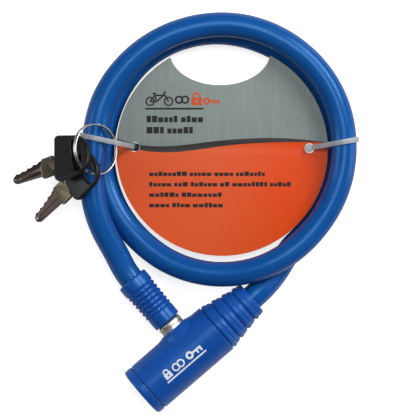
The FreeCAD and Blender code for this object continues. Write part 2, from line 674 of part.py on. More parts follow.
def make_key(key, tip, root, normal, point, side):
    """Side is +1 for a key above its plane and -1 for one below."""
    frame = key_frame(tip, root, normal, point)
    middle = side * (size["head_gap"] + size["head_thick"] / 2)
    half_blade = size["blade_thick"] / 2

    groove = box(key + "_groove", (17.6, 0.9, 0.5), (1.5, 0.35, middle + half_blade - 0.4))
    blade = cut(key + "_blade_cut",
                plate(key + "_blade_plate", BLADE, "blade_thick", middle), [groove])
    blade.Placement = frame
    finish(blade, key + "_blade")

    # where the ring wire passes through the middle of this head, to half a degree
    centre = frame.multVec(Vector(0, 0, middle))
    station = min((step / 2.0 for step in range(360, 540)),
                  key=lambda degrees: abs(ring_point(degrees).sub(centre).dot(normal)))
    slot_x = frame.inverse().multVec(ring_point(station)).x + SLOT_SHIFT
    slot = fuse(key + "_slot", [
        box(key + "_slot_mid", (2 * SLOT_RAD, 2 * SLOT_HALF, 8.0),
            (slot_x - SLOT_RAD, SLOT_Y - SLOT_HALF, -4.0)),
        cylinder(key + "_slot_a", SLOT_RAD, 8.0, (slot_x, SLOT_Y - SLOT_HALF, -4.0)),
        cylinder(key + "_slot_b", SLOT_RAD, 8.0, (slot_x, SLOT_Y + SLOT_HALF, -4.0))])
    pocket = box(key + "_pocket", (7.1, 4.9, size["blade_thick"] + 2 * POCKET_CLEAR),
                 (-7.05, -2.45, middle - half_blade - POCKET_CLEAR))
    head = cut(key + "_head_cut",
               plate(key + "_head_plate", rounded(HEAD), "head_thick", middle), [slot, pocket])
    head.Placement = frame
    finish(head, key + "_head")


def make_keys():
    tilt = math.radians(size["key_tilt"])
    low_normal = Vector(-math.sin(tilt), 0, math.cos(tilt))
    across, lean = size["top_key_tilt"], size["top_key_lean"]
    top_normal = Vector(-across, lean, math.sqrt(1 - across ** 2 - lean ** 2))
    low_point = ring_point(235)
    touch_x, touch_y = size["touch_x"], size["touch_y"]
    touch = Vector(touch_x, touch_y, plane_level(low_normal, low_point, touch_x, touch_y)
                   + size["head_gap"] / low_normal.z)
    make_key("key_1", (-84.4, -12.6), (-67.7, -6.5), top_normal, touch, 1)
    make_key("key_2", (-77.2, -28.9), (-63.7, -15.5), low_normal, low_point, -1)


# ---- build, check and export -----------------------------------------------------------------
make_cover()
make_end_cap()
make_housing()
make_plug()
make_wafers()
make_wafer_springs()
make_clip()
make_bolt()
make_ferrule()
make_cross_pin()
make_pin_parts()
centre_line = cable_curve()
make_cable(centre_line)
make_card()
make_ties(centre_line)
make_split_ring()
make_keys()
doc.recompute()

bad = [(ob.Name, ob.State) for ob in doc.Objects
       if any(state in ("Invalid", "Error") for state in ob.State)]
bad += [(ob.Label, "shape") for ob in PIECES
        if ob.Shape.isNull() or not ob.Shape.isValid() or not ob.Shape.Solids]
if bad:
    raise RuntimeError("not clean: %s" % bad)

os.makedirs("parts", exist_ok=True)
for ob in PIECES:
    ob.Shape.exportStep(os.path.join("parts", ob.Label + ".step"))
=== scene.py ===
"""Looks for a coiled cable bicycle lock with a display card and two keys.

The lock lies on the floor (z just below 0) and is seen from straight above, with +y at
the top of the view. The barrel is at the low-y side, turned 40.7 degrees from +x. The cable
leaves its far end, makes two stacked turns around the origin and comes back to the locking
pin, which enters the side of the barrel. The card lies inside the coil, the keys hang on a
split ring at the -x side. Lengths are in mm and become metres when meshes are made.
"""
import math
import random
from contextlib import contextmanager

import bmesh
import bpy
import numpy as np
from mathutils import Matrix, Vector


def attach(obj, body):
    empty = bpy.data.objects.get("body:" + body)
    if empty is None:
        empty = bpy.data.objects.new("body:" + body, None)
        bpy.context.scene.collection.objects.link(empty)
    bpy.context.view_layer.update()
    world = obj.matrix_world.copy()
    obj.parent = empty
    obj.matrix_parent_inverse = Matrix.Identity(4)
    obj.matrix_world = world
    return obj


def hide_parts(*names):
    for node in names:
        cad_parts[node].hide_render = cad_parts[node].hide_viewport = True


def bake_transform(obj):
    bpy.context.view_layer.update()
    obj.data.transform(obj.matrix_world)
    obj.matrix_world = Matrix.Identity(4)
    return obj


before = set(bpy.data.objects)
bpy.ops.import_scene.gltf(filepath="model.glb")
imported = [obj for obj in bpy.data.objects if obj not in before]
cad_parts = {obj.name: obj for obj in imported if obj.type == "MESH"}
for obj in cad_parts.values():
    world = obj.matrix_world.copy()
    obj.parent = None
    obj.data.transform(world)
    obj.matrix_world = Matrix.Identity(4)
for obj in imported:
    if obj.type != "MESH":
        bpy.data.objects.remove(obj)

random.seed(7)
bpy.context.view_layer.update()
MM = 0.001


# ---------------------------------------------------------------- frames
def frame_of(x, y, z, origin):
    """Matrix with the given axes and origin."""
    return Matrix(((*x, 0), (*y, 0), (*z, 0), (*origin, 1))).transposed()


BARREL_TURN = math.radians(40.7)
ALONG = (math.cos(BARREL_TURN), math.sin(BARREL_TURN), 0.0)
ACROSS = (-math.sin(BARREL_TURN), math.cos(BARREL_TURN), 0.0)
PIN_STATION = 27.9  # from the capped end of the barrel to the pin's axis

# Barrel frame: x along the barrel from its capped end, y towards the pin sleeve, z up.
BODY = frame_of(ALONG, ACROSS, (0, 0, 1), (-32.9, -100.7, 11.0))
PIN = BODY @ Matrix.Translation((PIN_STATION, 0, 0))


def placed(points, matrix):
    """Points of a frame, in the scene."""
    array = np.array(matrix)
    return points @ array[:3, :3].T + array[:3, 3]


# ---------------------------------------------------------------- outlines
def arc(x, y, radius, angles):
    return [(x + radius * math.cos(q), y + radius * math.sin(q)) for q in angles]


def circle(x, y, radius, n=40):
    return arc(x, y, radius, [2 * math.pi * k / n for k in range(n)])


def rect(x0, y0, x1, y1):
    return [(x0, y0), (x1, y0), (x1, y1), (x0, y1)]


def bar(start, end, width):
    """Outline of a straight thick line."""
    start, end = np.array(start), np.array(end)
    along = end - start
    along /= np.linalg.norm(along)
    side = np.array([-along[1], along[0]]) * width / 2
    return [tuple(p) for p in (start + side, end + side, end - side, start - side)]


def even(points, radius):
    """Gives every point of an outline the same corner radius."""
    return [(x, y, radius) for x, y in points]


def fillet(corners, steps=5):
    """Rounds a closed outline of (x, y, corner radius)."""
    out = []
    n = len(corners)
    for i, (x, y, radius) in enumerate(corners):
        corner = np.array((x, y), float)
        back = np.array(corners[i - 1][:2], float) - corner
        ahead = np.array(corners[(i + 1) % n][:2], float) - corner
        back_length, ahead_length = np.linalg.norm(back), np.linalg.norm(ahead)
        back, ahead = back / back_length, ahead / ahead_length
        angle = math.acos(max(-1, min(1, float(back @ ahead))))
        if radius <= 0 or angle > math.pi - 0.02 or angle < 0.02:
            out.append(tuple(corner))
            continue
        # the cut may take at most 0.48 of either neighbouring edge
        cut = min(radius / math.tan(angle / 2), back_length * 0.48, ahead_length * 0.48)
        radius = cut * math.tan(angle / 2)
        middle = (back + ahead) / np.linalg.norm(back + ahead)
        centre = corner + middle * (radius / math.sin(angle / 2))
        first, last = corner + back * cut - centre, corner + ahead * cut - centre
        start = math.atan2(first[1], first[0])
        turn = math.atan2(last[1], last[0]) - start
        turn = (turn + math.pi) % (2 * math.pi) - math.pi
        out += arc(centre[0], centre[1], radius,
                   [start + turn * k / steps for k in range(steps + 1)])
    return out


# ---------------------------------------------------------------- meshes
@contextmanager
def editing(mesh):
    """Opens a mesh as a bmesh and writes it back."""
    bm = bmesh.new()
    bm.from_mesh(mesh)
    yield bm
    bm.to_mesh(mesh)
    bm.free()


def link_object(name, data):
    ob = bpy.data.objects.new(name, data)
    bpy.context.scene.collection.objects.link(ob)
    return ob


def add_mesh(name, verts, faces, uvs=None):
    """Smooth-shaded object from points in mm, with an optional "run" UV for each vertex."""
    mesh = bpy.data.meshes.new(name)
    points = (np.asarray(verts, float) * MM).tolist()
    mesh.from_pydata(points, [], [tuple(int(i) for i in face) for face in faces])
    mesh.update()
    if uvs is not None:
        layer = mesh.uv_layers.new(name="run")
        index = np.empty(len(mesh.loops), dtype=np.int32)
        mesh.loops.foreach_get("vertex_index", index)
        layer.data.foreach_set("uv", uvs[index].ravel())
    mesh.polygons.foreach_set("use_smooth", [True] * len(mesh.polygons))
    return link_object(name, mesh)


def unit_rows(vectors):
    return vectors / np.linalg.norm(vectors, axis=1)[:, None]


def run_along(points):
    """Length along a polyline at each of its points."""
    return np.r_[0, np.cumsum(np.linalg.norm(np.diff(points, axis=0), axis=1))]


def ring_faces(rings, sides, closed):
    """Quads between successive rings; closed joins the last ring to the first."""
    i = np.arange(rings if closed else rings - 1)[:, None]
    j = np.arange(sides)[None]
    here, there = i * sides, (i + 1) % rings * sides
    beside = (j + 1) % sides
    return np.stack([here + j, here + beside, there + beside, there + j], -1).reshape(-1, 4)


def ring_uvs(run, angles):
    """U is the length run, v the turn from 0 to 1."""
    u = np.repeat(run[:, None], len(angles), 1)
    v = np.repeat(angles[None] / (2 * math.pi), len(run), 0)
    return np.stack([u, v], -1).reshape(-1, 2)


def lathe(name, outline, matrix, axis, seg, push=None, drop=None):
    """Turns a closed outline of (along, radius) about the x or y axis of a frame.

    push moves the points before they are placed, drop picks faces to leave out.
    """
    outline = np.array(outline, float)
    angles = np.arange(seg) / seg * 2 * math.pi
    along = np.repeat(outline[:, 0][:, None], seg, 1)
    radius = np.repeat(outline[:, 1][:, None], seg, 1)
    cos, sin = np.cos(angles)[None] * radius, np.sin(angles)[None] * radius
    columns = [along, cos, sin] if axis == "x" else [cos, along, -sin]
    points = np.stack(columns, -1).reshape(-1, 3)
    if push is not None:
        points = push(points, radius.reshape(-1))
    faces = ring_faces(len(outline), seg, closed=True)
    if drop is not None:
        faces = faces[~drop(points, faces)]
    uvs = ring_uvs(run_along(outline), angles)
    ob = add_mesh(name, placed(points, matrix), faces, uvs)
    with editing(ob.data) as bm:
        bmesh.ops.recalc_face_normals(bm, faces=bm.faces)
        loose = [v for v in bm.verts if not v.link_faces]
        bmesh.ops.delete(bm, geom=loose, context="VERTS")
    return ob


def tube(name, path, radius, seg, up=(0, 0, 1), wobble=None, run_start=0.0):
    """Round tube along a path with flat ends; wobble(run, angle) adds to its radius."""
    tangent = unit_rows(np.gradient(path, axis=0))
    side = unit_rows(np.cross(up, tangent))
    rise = np.cross(tangent, side)
    angles = np.arange(seg) / seg * 2 * math.pi
    run = run_start + run_along(path)
    n = len(path)
    radii = np.full((n, seg), radius, float)
    if wobble is not None:
        radii = radii + wobble(run[:, None], angles[None])
    around = (np.cos(angles)[None, :, None] * side[:, None]
              + np.sin(angles)[None, :, None] * rise[:, None])
    verts = (path[:, None] + radii[..., None] * around).reshape(-1, 3)
    faces = ring_faces(n, seg, closed=False).tolist()
    faces.append(tuple(range(seg))[::-1])
    faces.append(tuple((n - 1) * seg + k for k in range(seg)))
    ob = add_mesh(name, verts, faces, ring_uvs(run, angles))
    ob.data.polygons[-1].use_smooth = False
    ob.data.polygons[-2].use_smooth = False
    return ob


def sharpen(mesh, degrees=32):
    """Smooth shading with edges above the angle kept sharp."""
    mesh.polygons.foreach_set("use_smooth", [True] * len(mesh.polygons))
    mesh.update()
    with editing(mesh) as bm:
        for edge in bm.edges:
            if len(edge.link_faces) == 2 and edge.calc_face_angle(0) > math.radians(degrees):
                edge.smooth = False


def flat(name, loops, thick, matrix=None, bevel=0.0, steps=3, z0=0.0):
    """Plate with rounded edges and its underside at z0; loops after the first are holes."""
    curve = bpy.data.curves.new(name + "_outline", "CURVE")
    curve.dimensions = "2D"
    curve.fill_mode = "BOTH"
    curve.extrude = max((thick / 2 - bevel) * MM, 1e-6)
    curve.bevel_depth = bevel * MM
    curve.bevel_resolution = steps
    curve.offset = -bevel * MM
    for loop in loops:
        spline = curve.splines.new("POLY")
        spline.points.add(len(loop) - 1)
        for point, (x, y) in zip(spline.points, loop):
            point.co = (x * MM, y * MM, 0, 1)
        spline.use_cyclic_u = True
    source = link_object(name + "_tmp", curve)
    bpy.context.view_layer.update()
    evaluated = source.evaluated_get(bpy.context.evaluated_depsgraph_get())
    mesh = bpy.data.meshes.new_from_object(evaluated)
    bpy.data.objects.remove(source)
    bpy.data.curves.remove(curve)
    mesh.name = name
    ob = link_object(name, mesh)
    with editing(mesh) as bm:
        bmesh.ops.remove_doubles(bm, verts=bm.verts, dist=2e-7)
        bmesh.ops.translate(bm, verts=bm.verts, vec=(0, 0, (z0 + thick / 2) * MM))
        bmesh.ops.recalc_face_normals(bm, faces=bm.faces)
    if matrix is not None:
        in_metres = matrix.copy()
        for i in range(3):
            in_metres[i][3] *= MM
        mesh.transform(in_metres)
    sharpen(mesh)
    return ob


def join(name, parts):
    """One object from several, keeping one material slot per part's slot."""
    bm = bmesh.new()
    materials = []
    for part in parts:
        first_face, first_slot = len(bm.faces), len(materials)
        materials += list(part.data.materials)
        bm.from_mesh(part.data)
        bm.faces.ensure_lookup_table()
        for face in bm.faces[first_face:]:
            face.material_index += first_slot
    mesh = bpy.data.meshes.new(name)
    bm.to_mesh(mesh)
    bm.free()
    for material in materials:
        mesh.materials.append(material)
    ob = link_object(name, mesh)
    for part in parts:
        bpy.data.objects.remove(part)
    return ob


def paint(ob, material):
    ob.data.materials.clear()
    ob.data.materials.append(material)
    return ob


def fit(ob, node, body):
    """Puts the object in place of a CAD node and moving body."""
    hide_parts(node)
    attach(ob, body)


# ---------------------------------------------------------------- materials
class Mat:
    """A principled material and short calls for the nodes that feed it."""

    def __init__(self, name):
        self.material = bpy.data.materials.new(name)
        self.material.use_nodes = True
        self.tree = self.material.node_tree
        self.bsdf = self.tree.nodes["Principled BSDF"]

    def node(self, kind, **settings):
        node = self.tree.nodes.new(kind)
        for key, value in settings.items():
            setattr(node, key, value)
        return node

    def link(self, source, target):
        self.tree.links.new(source, target)

    def feed(self, target, value):
        """Links a socket, or sets a plain number or an RGB colour."""
        if hasattr(value, "node"):
            self.link(value, target)
        else:
            target.default_value = (*value, 1) if isinstance(value, tuple) else value

    def set(self, **values):
        """Principled inputs by name, with underscores for spaces."""
        for key, value in values.items():
            self.bsdf.inputs[key.replace("_", " ")].default_value = value

    def coords(self, kind="Object", scale=(1, 1, 1)):
        source = self.node("ShaderNodeTexCoord")
        mapping = self.node("ShaderNodeMapping")
        mapping.inputs["Scale"].default_value = scale
        self.link(source.outputs[kind], mapping.inputs["Vector"])
        return mapping.outputs["Vector"]

    def noise(self, vector, scale, detail=4, roughness=0.55):
        noise = self.node("ShaderNodeTexNoise")
        noise.inputs["Scale"].default_value = scale
        noise.inputs["Detail"].default_value = detail
        noise.inputs["Roughness"].default_value = roughness
        self.link(vector, noise.inputs["Vector"])
        return noise.outputs["Fac"]

    def ramp(self, factor, stops):
        """Colour ramp from {position: colour}."""
        ramp = self.node("ShaderNodeValToRGB")
        elements = ramp.color_ramp.elements
        while len(elements) < len(stops):
            elements.new(0.5)
        for element, (position, color) in zip(elements, stops.items()):
            element.position = position
            element.color = (*color, 1)
        self.link(factor, ramp.inputs["Fac"])
        return ramp.outputs["Color"]

    def remap(self, value, over=(0.0, 1.0), to=(0.0, 1.0)):
        """Clamped map of the range over onto the range to."""
        remap = self.node("ShaderNodeMapRange")
        for label, number in zip(("From Min", "From Max", "To Min", "To Max"), (*over, *to)):
            remap.inputs[label].default_value = number
        self.link(value, remap.inputs["Value"])
        return remap.outputs["Result"]

    def mix(self, factor, under, over):
        mix = self.node("ShaderNodeMix", data_type="RGBA", blend_type="MIX")
        # sockets 0, 6 and 7 are the factor and the two colours
        for index, value in ((0, factor), (6, under), (7, over)):
            self.feed(mix.inputs[index], value)
        return mix.outputs[2]

    def math(self, operation, a, b):
        node = self.node("ShaderNodeMath", operation=operation)
        self.feed(node.inputs[0], a)
        self.feed(node.inputs[1], b)
        return node.outputs[0]

    def edges(self, over, amount):
        """Mask of the convex edges."""
        geometry = self.node("ShaderNodeNewGeometry")
        mask = self.remap(geometry.outputs["Pointiness"], over=over)
        return self.math("MULTIPLY", mask, amount)

    def bump(self, height, strength, distance, normal=None):
        bump = self.node("ShaderNodeBump")
        bump.inputs["Strength"].default_value = strength
        bump.inputs["Distance"].default_value = distance
        self.link(height, bump.inputs["Height"])
        if normal is not None:
            self.link(normal, bump.inputs["Normal"])
        return bump.outputs["Normal"]

    def finish(self, color, roughness, normal):
        self.link(color, self.bsdf.inputs["Base Color"])
        self.link(roughness, self.bsdf.inputs["Roughness"])
        self.link(normal, self.bsdf.inputs["Normal"])
        return self.material


def blue_abs():
    """Moulded blue plastic with paler edges as a painted highlight, and faint scratches."""
    m = Mat("blue_abs")
    where = m.coords()
    cloud = m.noise(where, scale=60, detail=3)
    fine = m.noise(where, scale=900, detail=5, roughness=0.6)
    color = m.ramp(cloud, {0.3: (0.007, 0.068, 0.34), 0.7: (0.009, 0.083, 0.39)})
    # painted highlight: paler blue on the convex edges
    color = m.mix(m.edges(over=(0.52, 0.60), amount=0.6), color, (0.09, 0.26, 0.66))
    scratch = m.noise(m.coords(scale=(260, 1900, 260)), scale=1.0, detail=2, roughness=0.4)
    scratched = m.math("MULTIPLY", m.remap(scratch, over=(0.62, 0.75)), 0.12)
    roughness = m.math("ADD", m.remap(cloud, to=(0.27, 0.36)), scratched)
    m.set(Specular_IOR_Level=0.5, Specular_Tint=(0.30, 0.62, 1.0, 1))
    normal = m.bump(fine, strength=0.10, distance=0.00012)
    normal = m.bump(scratch, strength=0.03, distance=0.00006, normal=normal)
    return m.finish(color, roughness, normal)


def blue_pvc():
    """Glossy blue cable jacket, streaked along its length, with painted shade where it turns
    away from the view.
    """
    m = Mat("blue_pvc")
    streak = m.noise(m.coords("UV", scale=(0.02, 9.0, 1)), scale=1.6, roughness=0.6)
    where = m.coords()
    cloud = m.noise(where, scale=38, detail=3)
    fine = m.noise(where, scale=1400, roughness=0.6)
    color = m.ramp(streak, {0.3: (0.005, 0.074, 0.30), 0.7: (0.007, 0.096, 0.36)})
    color = m.mix(m.remap(cloud, over=(0.55, 0.8), to=(0, 0.3)), color, (0.014, 0.10, 0.42))
    # painted shade: darker where the surface turns away from the view
    weight = m.node("ShaderNodeLayerWeight")
    weight.inputs["Blend"].default_value = 0.35
    painted_side_shade = m.math("MULTIPLY", weight.outputs["Facing"], 0.55)
    color = m.mix(painted_side_shade, color, (0.004, 0.035, 0.20))
    roughness = m.math("ADD", m.remap(cloud, to=(0.19, 0.27)),
                       m.remap(streak, over=(0.5, 0.8), to=(0, 0.10)))
    m.set(Specular_IOR_Level=0.5, Specular_Tint=(0.26, 0.60, 1.0, 1),
          Subsurface_Weight=0.12, Subsurface_Scale=0.002, Subsurface_Radius=(0.15, 0.35, 1.0))
    normal = m.bump(streak, strength=0.22, distance=0.0004)
    normal = m.bump(fine, strength=0.05, distance=0.00008, normal=normal)
    return m.finish(color, roughness, normal)


def metal(name, base, roughness, scratch, grain=(1, 1, 1), wear=None):
    """Metal with clouded colour; grain stretches the scratches, wear colours the edges."""
    m = Mat(name)
    fine = m.noise(m.coords(scale=grain), scale=700, detail=5, roughness=0.6)
    cloud = m.noise(m.coords(), scale=90, detail=3)
    color = m.ramp(cloud, {0.25: tuple(c * 0.72 for c in base), 0.75: base})
    wear = wear or tuple(min(1, c * 1.35 + 0.05) for c in base)
    color = m.mix(m.edges(over=(0.53, 0.64), amount=0.6), color, wear)
    rough = m.math("ADD", m.remap(fine, to=(roughness * 0.75, roughness * 1.25)),
                   m.remap(cloud, over=(0.5, 0.9), to=(0, 0.1)))
    m.set(Metallic=1.0)
    return m.finish(color, rough, m.bump(fine, strength=scratch * 0.25, distance=0.00008))


def black_plastic():
    """Near-black plastic of the key heads, with a painted highlight on the edges."""
    m = Mat("black_plastic")
    where = m.coords()
    fine = m.noise(where, scale=1500, roughness=0.65)
    cloud = m.noise(where, scale=120, detail=3)
    color = m.ramp(cloud, {0.3: (0.005, 0.005, 0.006), 0.75: (0.010, 0.010, 0.012)})
    # painted highlight: grey on the convex edges
    color = m.mix(m.edges(over=(0.53, 0.62), amount=0.5), color, (0.06, 0.065, 0.065))
    m.set(Specular_IOR_Level=0.32)
    return m.finish(color, m.remap(cloud, to=(0.26, 0.40)),
                    m.bump(fine, strength=0.18, distance=0.0001))


def clear_nylon():
    """Translucent nylon of the cable ties."""
    m = Mat("clear_nylon")
    where = m.coords()
    cloud = m.noise(where, scale=300, detail=3)
    fine = m.noise(where, scale=2200, detail=3, roughness=0.6)
    color = m.ramp(cloud, {0.3: (0.54, 0.61, 0.66), 0.75: (0.72, 0.78, 0.82)})
    m.set(Transmission_Weight=0.55, IOR=1.5, Subsurface_Weight=0.25, Subsurface_Scale=0.001,
          Subsurface_Radius=(1, 1, 1))
    return m.finish(color, m.remap(cloud, to=(0.28, 0.42)),
                    m.bump(fine, strength=0.12, distance=0.00008))


# The dark stripe across the card: x, y of its upper edge, y of its lower edge.
STRIPE = [
    (-45.7745, 6.0175, 5.395), (-42.2055, 4.814, 3.9425), (-38.014, 3.486, 2.1165),
    (-33.864, 2.4485, 0.332), (-27.9295, 1.826, -0.5395), (-21.9535, 1.826, -0.7055),
    (-16.019, 2.241, -0.415), (-10.0845, 2.905, 0.2905), (-4.1085, 3.735, 1.1205),
    (1.8675, 4.3575, 1.9505), (7.7605, 4.814, 2.573), (13.778, 5.1045, 3.0295),
    (19.7125, 5.229, 3.2785), (25.6885, 5.1875, 3.4445), (31.623, 4.814, 3.486),
    (37.599, 4.233, 3.486), (43.5335, 3.486, 3.1955), (45.5255, 3.237, 2.988)]
STRIPE_HALF_WIDTH = 45.8  # the curves span this far either side of x = 0
STRIPE_LOW, STRIPE_HIGH = -6.0, 10.0  # y range of the curves


def card_print():
    """Grey above and orange below a wavy dark stripe, with bare paper on the card's edge."""
    m = Mat("card_print")
    place = m.node("ShaderNodeSeparateXYZ")
    m.link(m.node("ShaderNodeTexCoord").outputs["Object"], place.inputs[0])
    x, y = place.outputs[0], place.outputs[1]
    half = STRIPE_HALF_WIDTH
    across = m.remap(x, over=(-half * MM, half * MM))

    def above(column):
        """Mask of the card above one edge of the stripe."""
        node = m.node("ShaderNodeFloatCurve")
        curve = node.mapping.curves[0]
        while len(curve.points) < len(STRIPE):
            curve.points.new(0.5, 0.5)
        for point, row in zip(curve.points, STRIPE):
            point.location = ((row[0] + half) / (2 * half),
                              (row[column] - STRIPE_LOW) / (STRIPE_HIGH - STRIPE_LOW))
            point.handle_type = "AUTO"
        node.mapping.update()
        m.link(across, node.inputs["Value"])
        edge = m.remap(node.outputs["Value"], to=(STRIPE_LOW * MM, STRIPE_HIGH * MM))
        return m.remap(m.math("SUBTRACT", y, edge), over=(-0.00006, 0.00006))

    above_stripe, above_orange = above(1), above(2)
    grain = m.noise(m.coords(scale=(520, 26, 1)), scale=1.0, roughness=0.6)
    cloud = m.noise(m.coords(), scale=40, detail=3)
    grey = m.ramp(grain, {0.25: (0.185, 0.225, 0.215), 0.75: (0.235, 0.28, 0.268)})
    clouded = m.remap(cloud, over=(0.45, 0.75), to=(0, 0.5))
    grey = m.mix(clouded, grey, (0.25, 0.285, 0.272))
    orange = m.ramp(m.remap(x, over=(-0.045, 0.045)), {
        0.12: (0.74, 0.098, 0.026), 0.48: (0.72, 0.098, 0.022), 0.8: (0.75, 0.064, 0.004)})
    grained = m.remap(grain, over=(0.5, 0.9), to=(0, 0.18))
    orange = m.mix(grained, orange, (0.70, 0.13, 0.04))
    stripe = m.ramp(cloud, {0.3: (0.027, 0.023, 0.022), 0.7: (0.044, 0.038, 0.036)})
    color = m.mix(above_orange, orange, stripe)
    color = m.mix(above_stripe, color, grey)
    # only faces that look up are printed
    normal_xyz = m.node("ShaderNodeSeparateXYZ")
    m.link(m.node("ShaderNodeNewGeometry").outputs["Normal"], normal_xyz.inputs[0])
    printed = m.remap(normal_xyz.outputs[2], over=(0.35, 0.6))
    fibre = m.noise(m.coords(), scale=900)
    paper = m.ramp(fibre, {0.3: (0.60, 0.58, 0.55), 0.7: (0.74, 0.73, 0.70)})
    color = m.mix(printed, paper, color)
    fine = m.noise(m.coords(), scale=1300, detail=5, roughness=0.65)
    bare = m.math("MULTIPLY", m.math("SUBTRACT", 1.0, printed), 0.4)
    roughness = m.math("ADD", m.remap(fine, to=(0.30, 0.42)), bare)
    normal = m.bump(fine, strength=0.08, distance=0.00006)
    normal = m.bump(cloud, strength=0.15, distance=0.0006, normal=normal)
    m.set(Specular_IOR_Level=0.15)
    return m.finish(color, roughness, normal)


def ink(name, base, roughness=0.45):
    m = Mat(name)
    where = m.coords()
    cloud = m.noise(where, scale=500)
    color = m.ramp(cloud, {0.3: tuple(c * 0.86 for c in base), 0.75: base})
    normal = m.bump(m.noise(where, scale=2500, detail=3), strength=0.06, distance=0.00004)
    m.set(Specular_IOR_Level=0.2)
    return m.finish(color, m.remap(cloud, to=(roughness - 0.06, roughness + 0.08)), normal)


ABS, PVC = blue_abs(), blue_pvc()
CHROME = metal("chrome_bright", base=(0.62, 0.60, 0.56), roughness=0.44, scratch=0.08)
NICKEL = metal("dark_nickel", base=(0.125, 0.112, 0.072), roughness=0.30, scratch=0.7,
               grain=(1, 6, 1), wear=(0.46, 0.43, 0.36))
NICKEL_CUT = metal("cut_nickel", base=(0.085, 0.060, 0.055), roughness=0.26, scratch=1.0,
                   grain=(1, 5, 1), wear=(0.62, 0.60, 0.56))
STEEL = metal("turned_steel", base=(0.58, 0.58, 0.60), roughness=0.26, scratch=0.7)
ZINC = metal("cast_zinc", base=(0.48, 0.49, 0.50), roughness=0.45, scratch=0.9)
BRASS = metal("plug_brass", base=(0.62, 0.46, 0.22), roughness=0.28, scratch=0.6)
SPRING = metal("spring_wire", base=(0.42, 0.42, 0.44), roughness=0.3, scratch=0.4)
BLACK, NYLON, CARD = black_plastic(), clear_nylon(), card_print()
INK_DARK = ink("ink_dark", base=(0.011, 0.010, 0.011))
INK_ORANGE = ink("ink_orange", base=(0.62, 0.085, 0.022))
INK_WHITE = ink("ink_white", base=(0.80, 0.86, 0.90), roughness=0.35)
RING_WIRE = metal("ring_wire", base=(0.56, 0.56, 0.55), roughness=0.22, scratch=0.03,
                  wear=(0.56, 0.56, 0.55))

# ---------------------------------------------------------------- lock cover and end cap
BARREL_R = 10.99
COVER_START, COVER_END = 3.97, 60.75
COVER_BORE_R = 9.3
CABLE_BORE_R, CABLE_BORE_START = 5.3, 43.3
RINGS_START, RING_PITCH = 41.87, 4.75
# The stepped rings at the cable end: radius at the start and at the end of each.
COVER_RINGS = [(10.88, 9.78), (9.93, 8.88), (9.03, 7.98), (8.13, 7.33)]
STATION_SPACING = 0.28
# The flare around the boss: where it starts from the pin's axis, how wide it is,
# the height it rises towards and how much of that it takes.
FLARE_R, FLARE_WIDTH, FLARE_TOP, FLARE_SHARE = 9.4, 2.7, 11.45, 0.82
OPENING_R = 6.1


def cover_outline():
    """Closed (along, radius) outline of the cover, with dense stations for the flare."""
    corners = [(COVER_START, COVER_BORE_R, 0.1), (COVER_START, 10.62, 0.25),
               (4.35, BARREL_R, 0.3), (41.25, BARREL_R, 0.35),
               (41.5, 10.12, 0.12), (41.85, 10.12, 0.1)]
    x = RINGS_START
    for i, (start_r, end_r) in enumerate(COVER_RINGS):
        half = (start_r + end_r) / 2
        corners += [(x, start_r - 0.4, 0.15), (x + 0.45, start_r, 0.5),
                    (x + 1.75, half + 0.28, 0.4), (x + 2.15, half - 0.22, 0.3),
                    (x + 2.6, half + 0.02, 0.4)]
        if i < len(COVER_RINGS) - 1:
            corners += [(x + 4.0, end_r, 0.5), (x + 4.35, end_r - 0.55, 0.12),
                        (x + 4.6, end_r - 0.55, 0.12)]
        x += RING_PITCH
    corners += [(COVER_END, COVER_RINGS[-1][1], 0.45), (COVER_END, CABLE_BORE_R, 0.35),
                (CABLE_BORE_START, CABLE_BORE_R, 0.0), (CABLE_BORE_START, COVER_BORE_R, 0.0)]
    outline = fillet(corners, 4)
    dense = []
    for a, b in zip(outline, outline[1:] + outline[:1]):
        n = max(1, int(abs(b[0] - a[0]) / STATION_SPACING))
        dense += [(a[0] + (b[0] - a[0]) * k / n, a[1] + (b[1] - a[1]) * k / n)
                  for k in range(n)]
    return dense


def from_pin_axis(points):
    return np.hypot(points[:, 0] - PIN_STATION, points[:, 2])


def flare(points, radius):
    """Raises the barrel's skin towards the rim of the boss."""
    out = points.copy()
    skin = (points[:, 1] > 0) & (radius > 10.9)
    t = np.clip((FLARE_R - from_pin_axis(points)) / FLARE_WIDTH, 0, 1)
    rise = (t * t * (3 - 2 * t)) * np.clip(FLARE_TOP - points[:, 1], 0, None) * FLARE_SHARE
    out[skin, 1] += rise[skin]
    return out


def in_opening(points, faces):
    inside = (from_pin_axis(points) < OPENING_R) & (points[:, 1] > 0)
    return inside[faces].all(axis=1)


def build_cover():
    shell = lathe("lock_cover_shell", cover_outline(), BODY, "x", 288, flare, in_opening)
    rim = fillet([(8.2, 5.52, 0), (11.58, 5.52, 0.28), (11.58, 6.75, 0.5),
                  (10.4, 6.95, 0.3), (8.2, 6.95, 0)])
    boss = lathe("lock_cover_boss", rim, PIN, "y", 160)
    # the wall of the opening, hidden in the boss, closes the shell
    with editing(shell.data) as bm:
        bmesh.ops.bridge_loops(bm, edges=[e for e in bm.edges if e.is_boundary])
        bmesh.ops.recalc_face_normals(bm, faces=bm.faces)
    paint(shell, ABS)
    paint(boss, ABS)
    fit(join("lock_cover_look", [shell, boss]), "lock_cover", "lock_body")


def build_turned(node, corners, matrix, axis, seg, material, body, steps=5):
    """One turned piece from (along, radius, corner radius)."""
    ob = lathe(node + "_look", fillet(corners, steps), matrix, axis, seg)
    fit(paint(ob, material), node, body)


END_CAP = [
    (0.04, 5.95, 0.2), (0.04, 10.1, 0.5), (0.55, 10.85, 0.4), (1.3, BARREL_R, 0.3),
    (3.35, BARREL_R, 0.25), (3.72, 10.65, 0.2), (3.72, 9.2, 0), (2.05, 9.2, 0),
    (2.05, 5.5, 0), (0.55, 5.5, 0.25)]

build_cover()
build_turned("end_cap", END_CAP, BODY, "x", 256, ABS, "lock_body")

# ---------------------------------------------------------------- sleeve, collar, pin
SLEEVE_RIBS, RIB_START, RIB_PITCH = 6, 20.75, 2.07
TAPER_START, TAPER_LENGTH = 15.4, 23.1


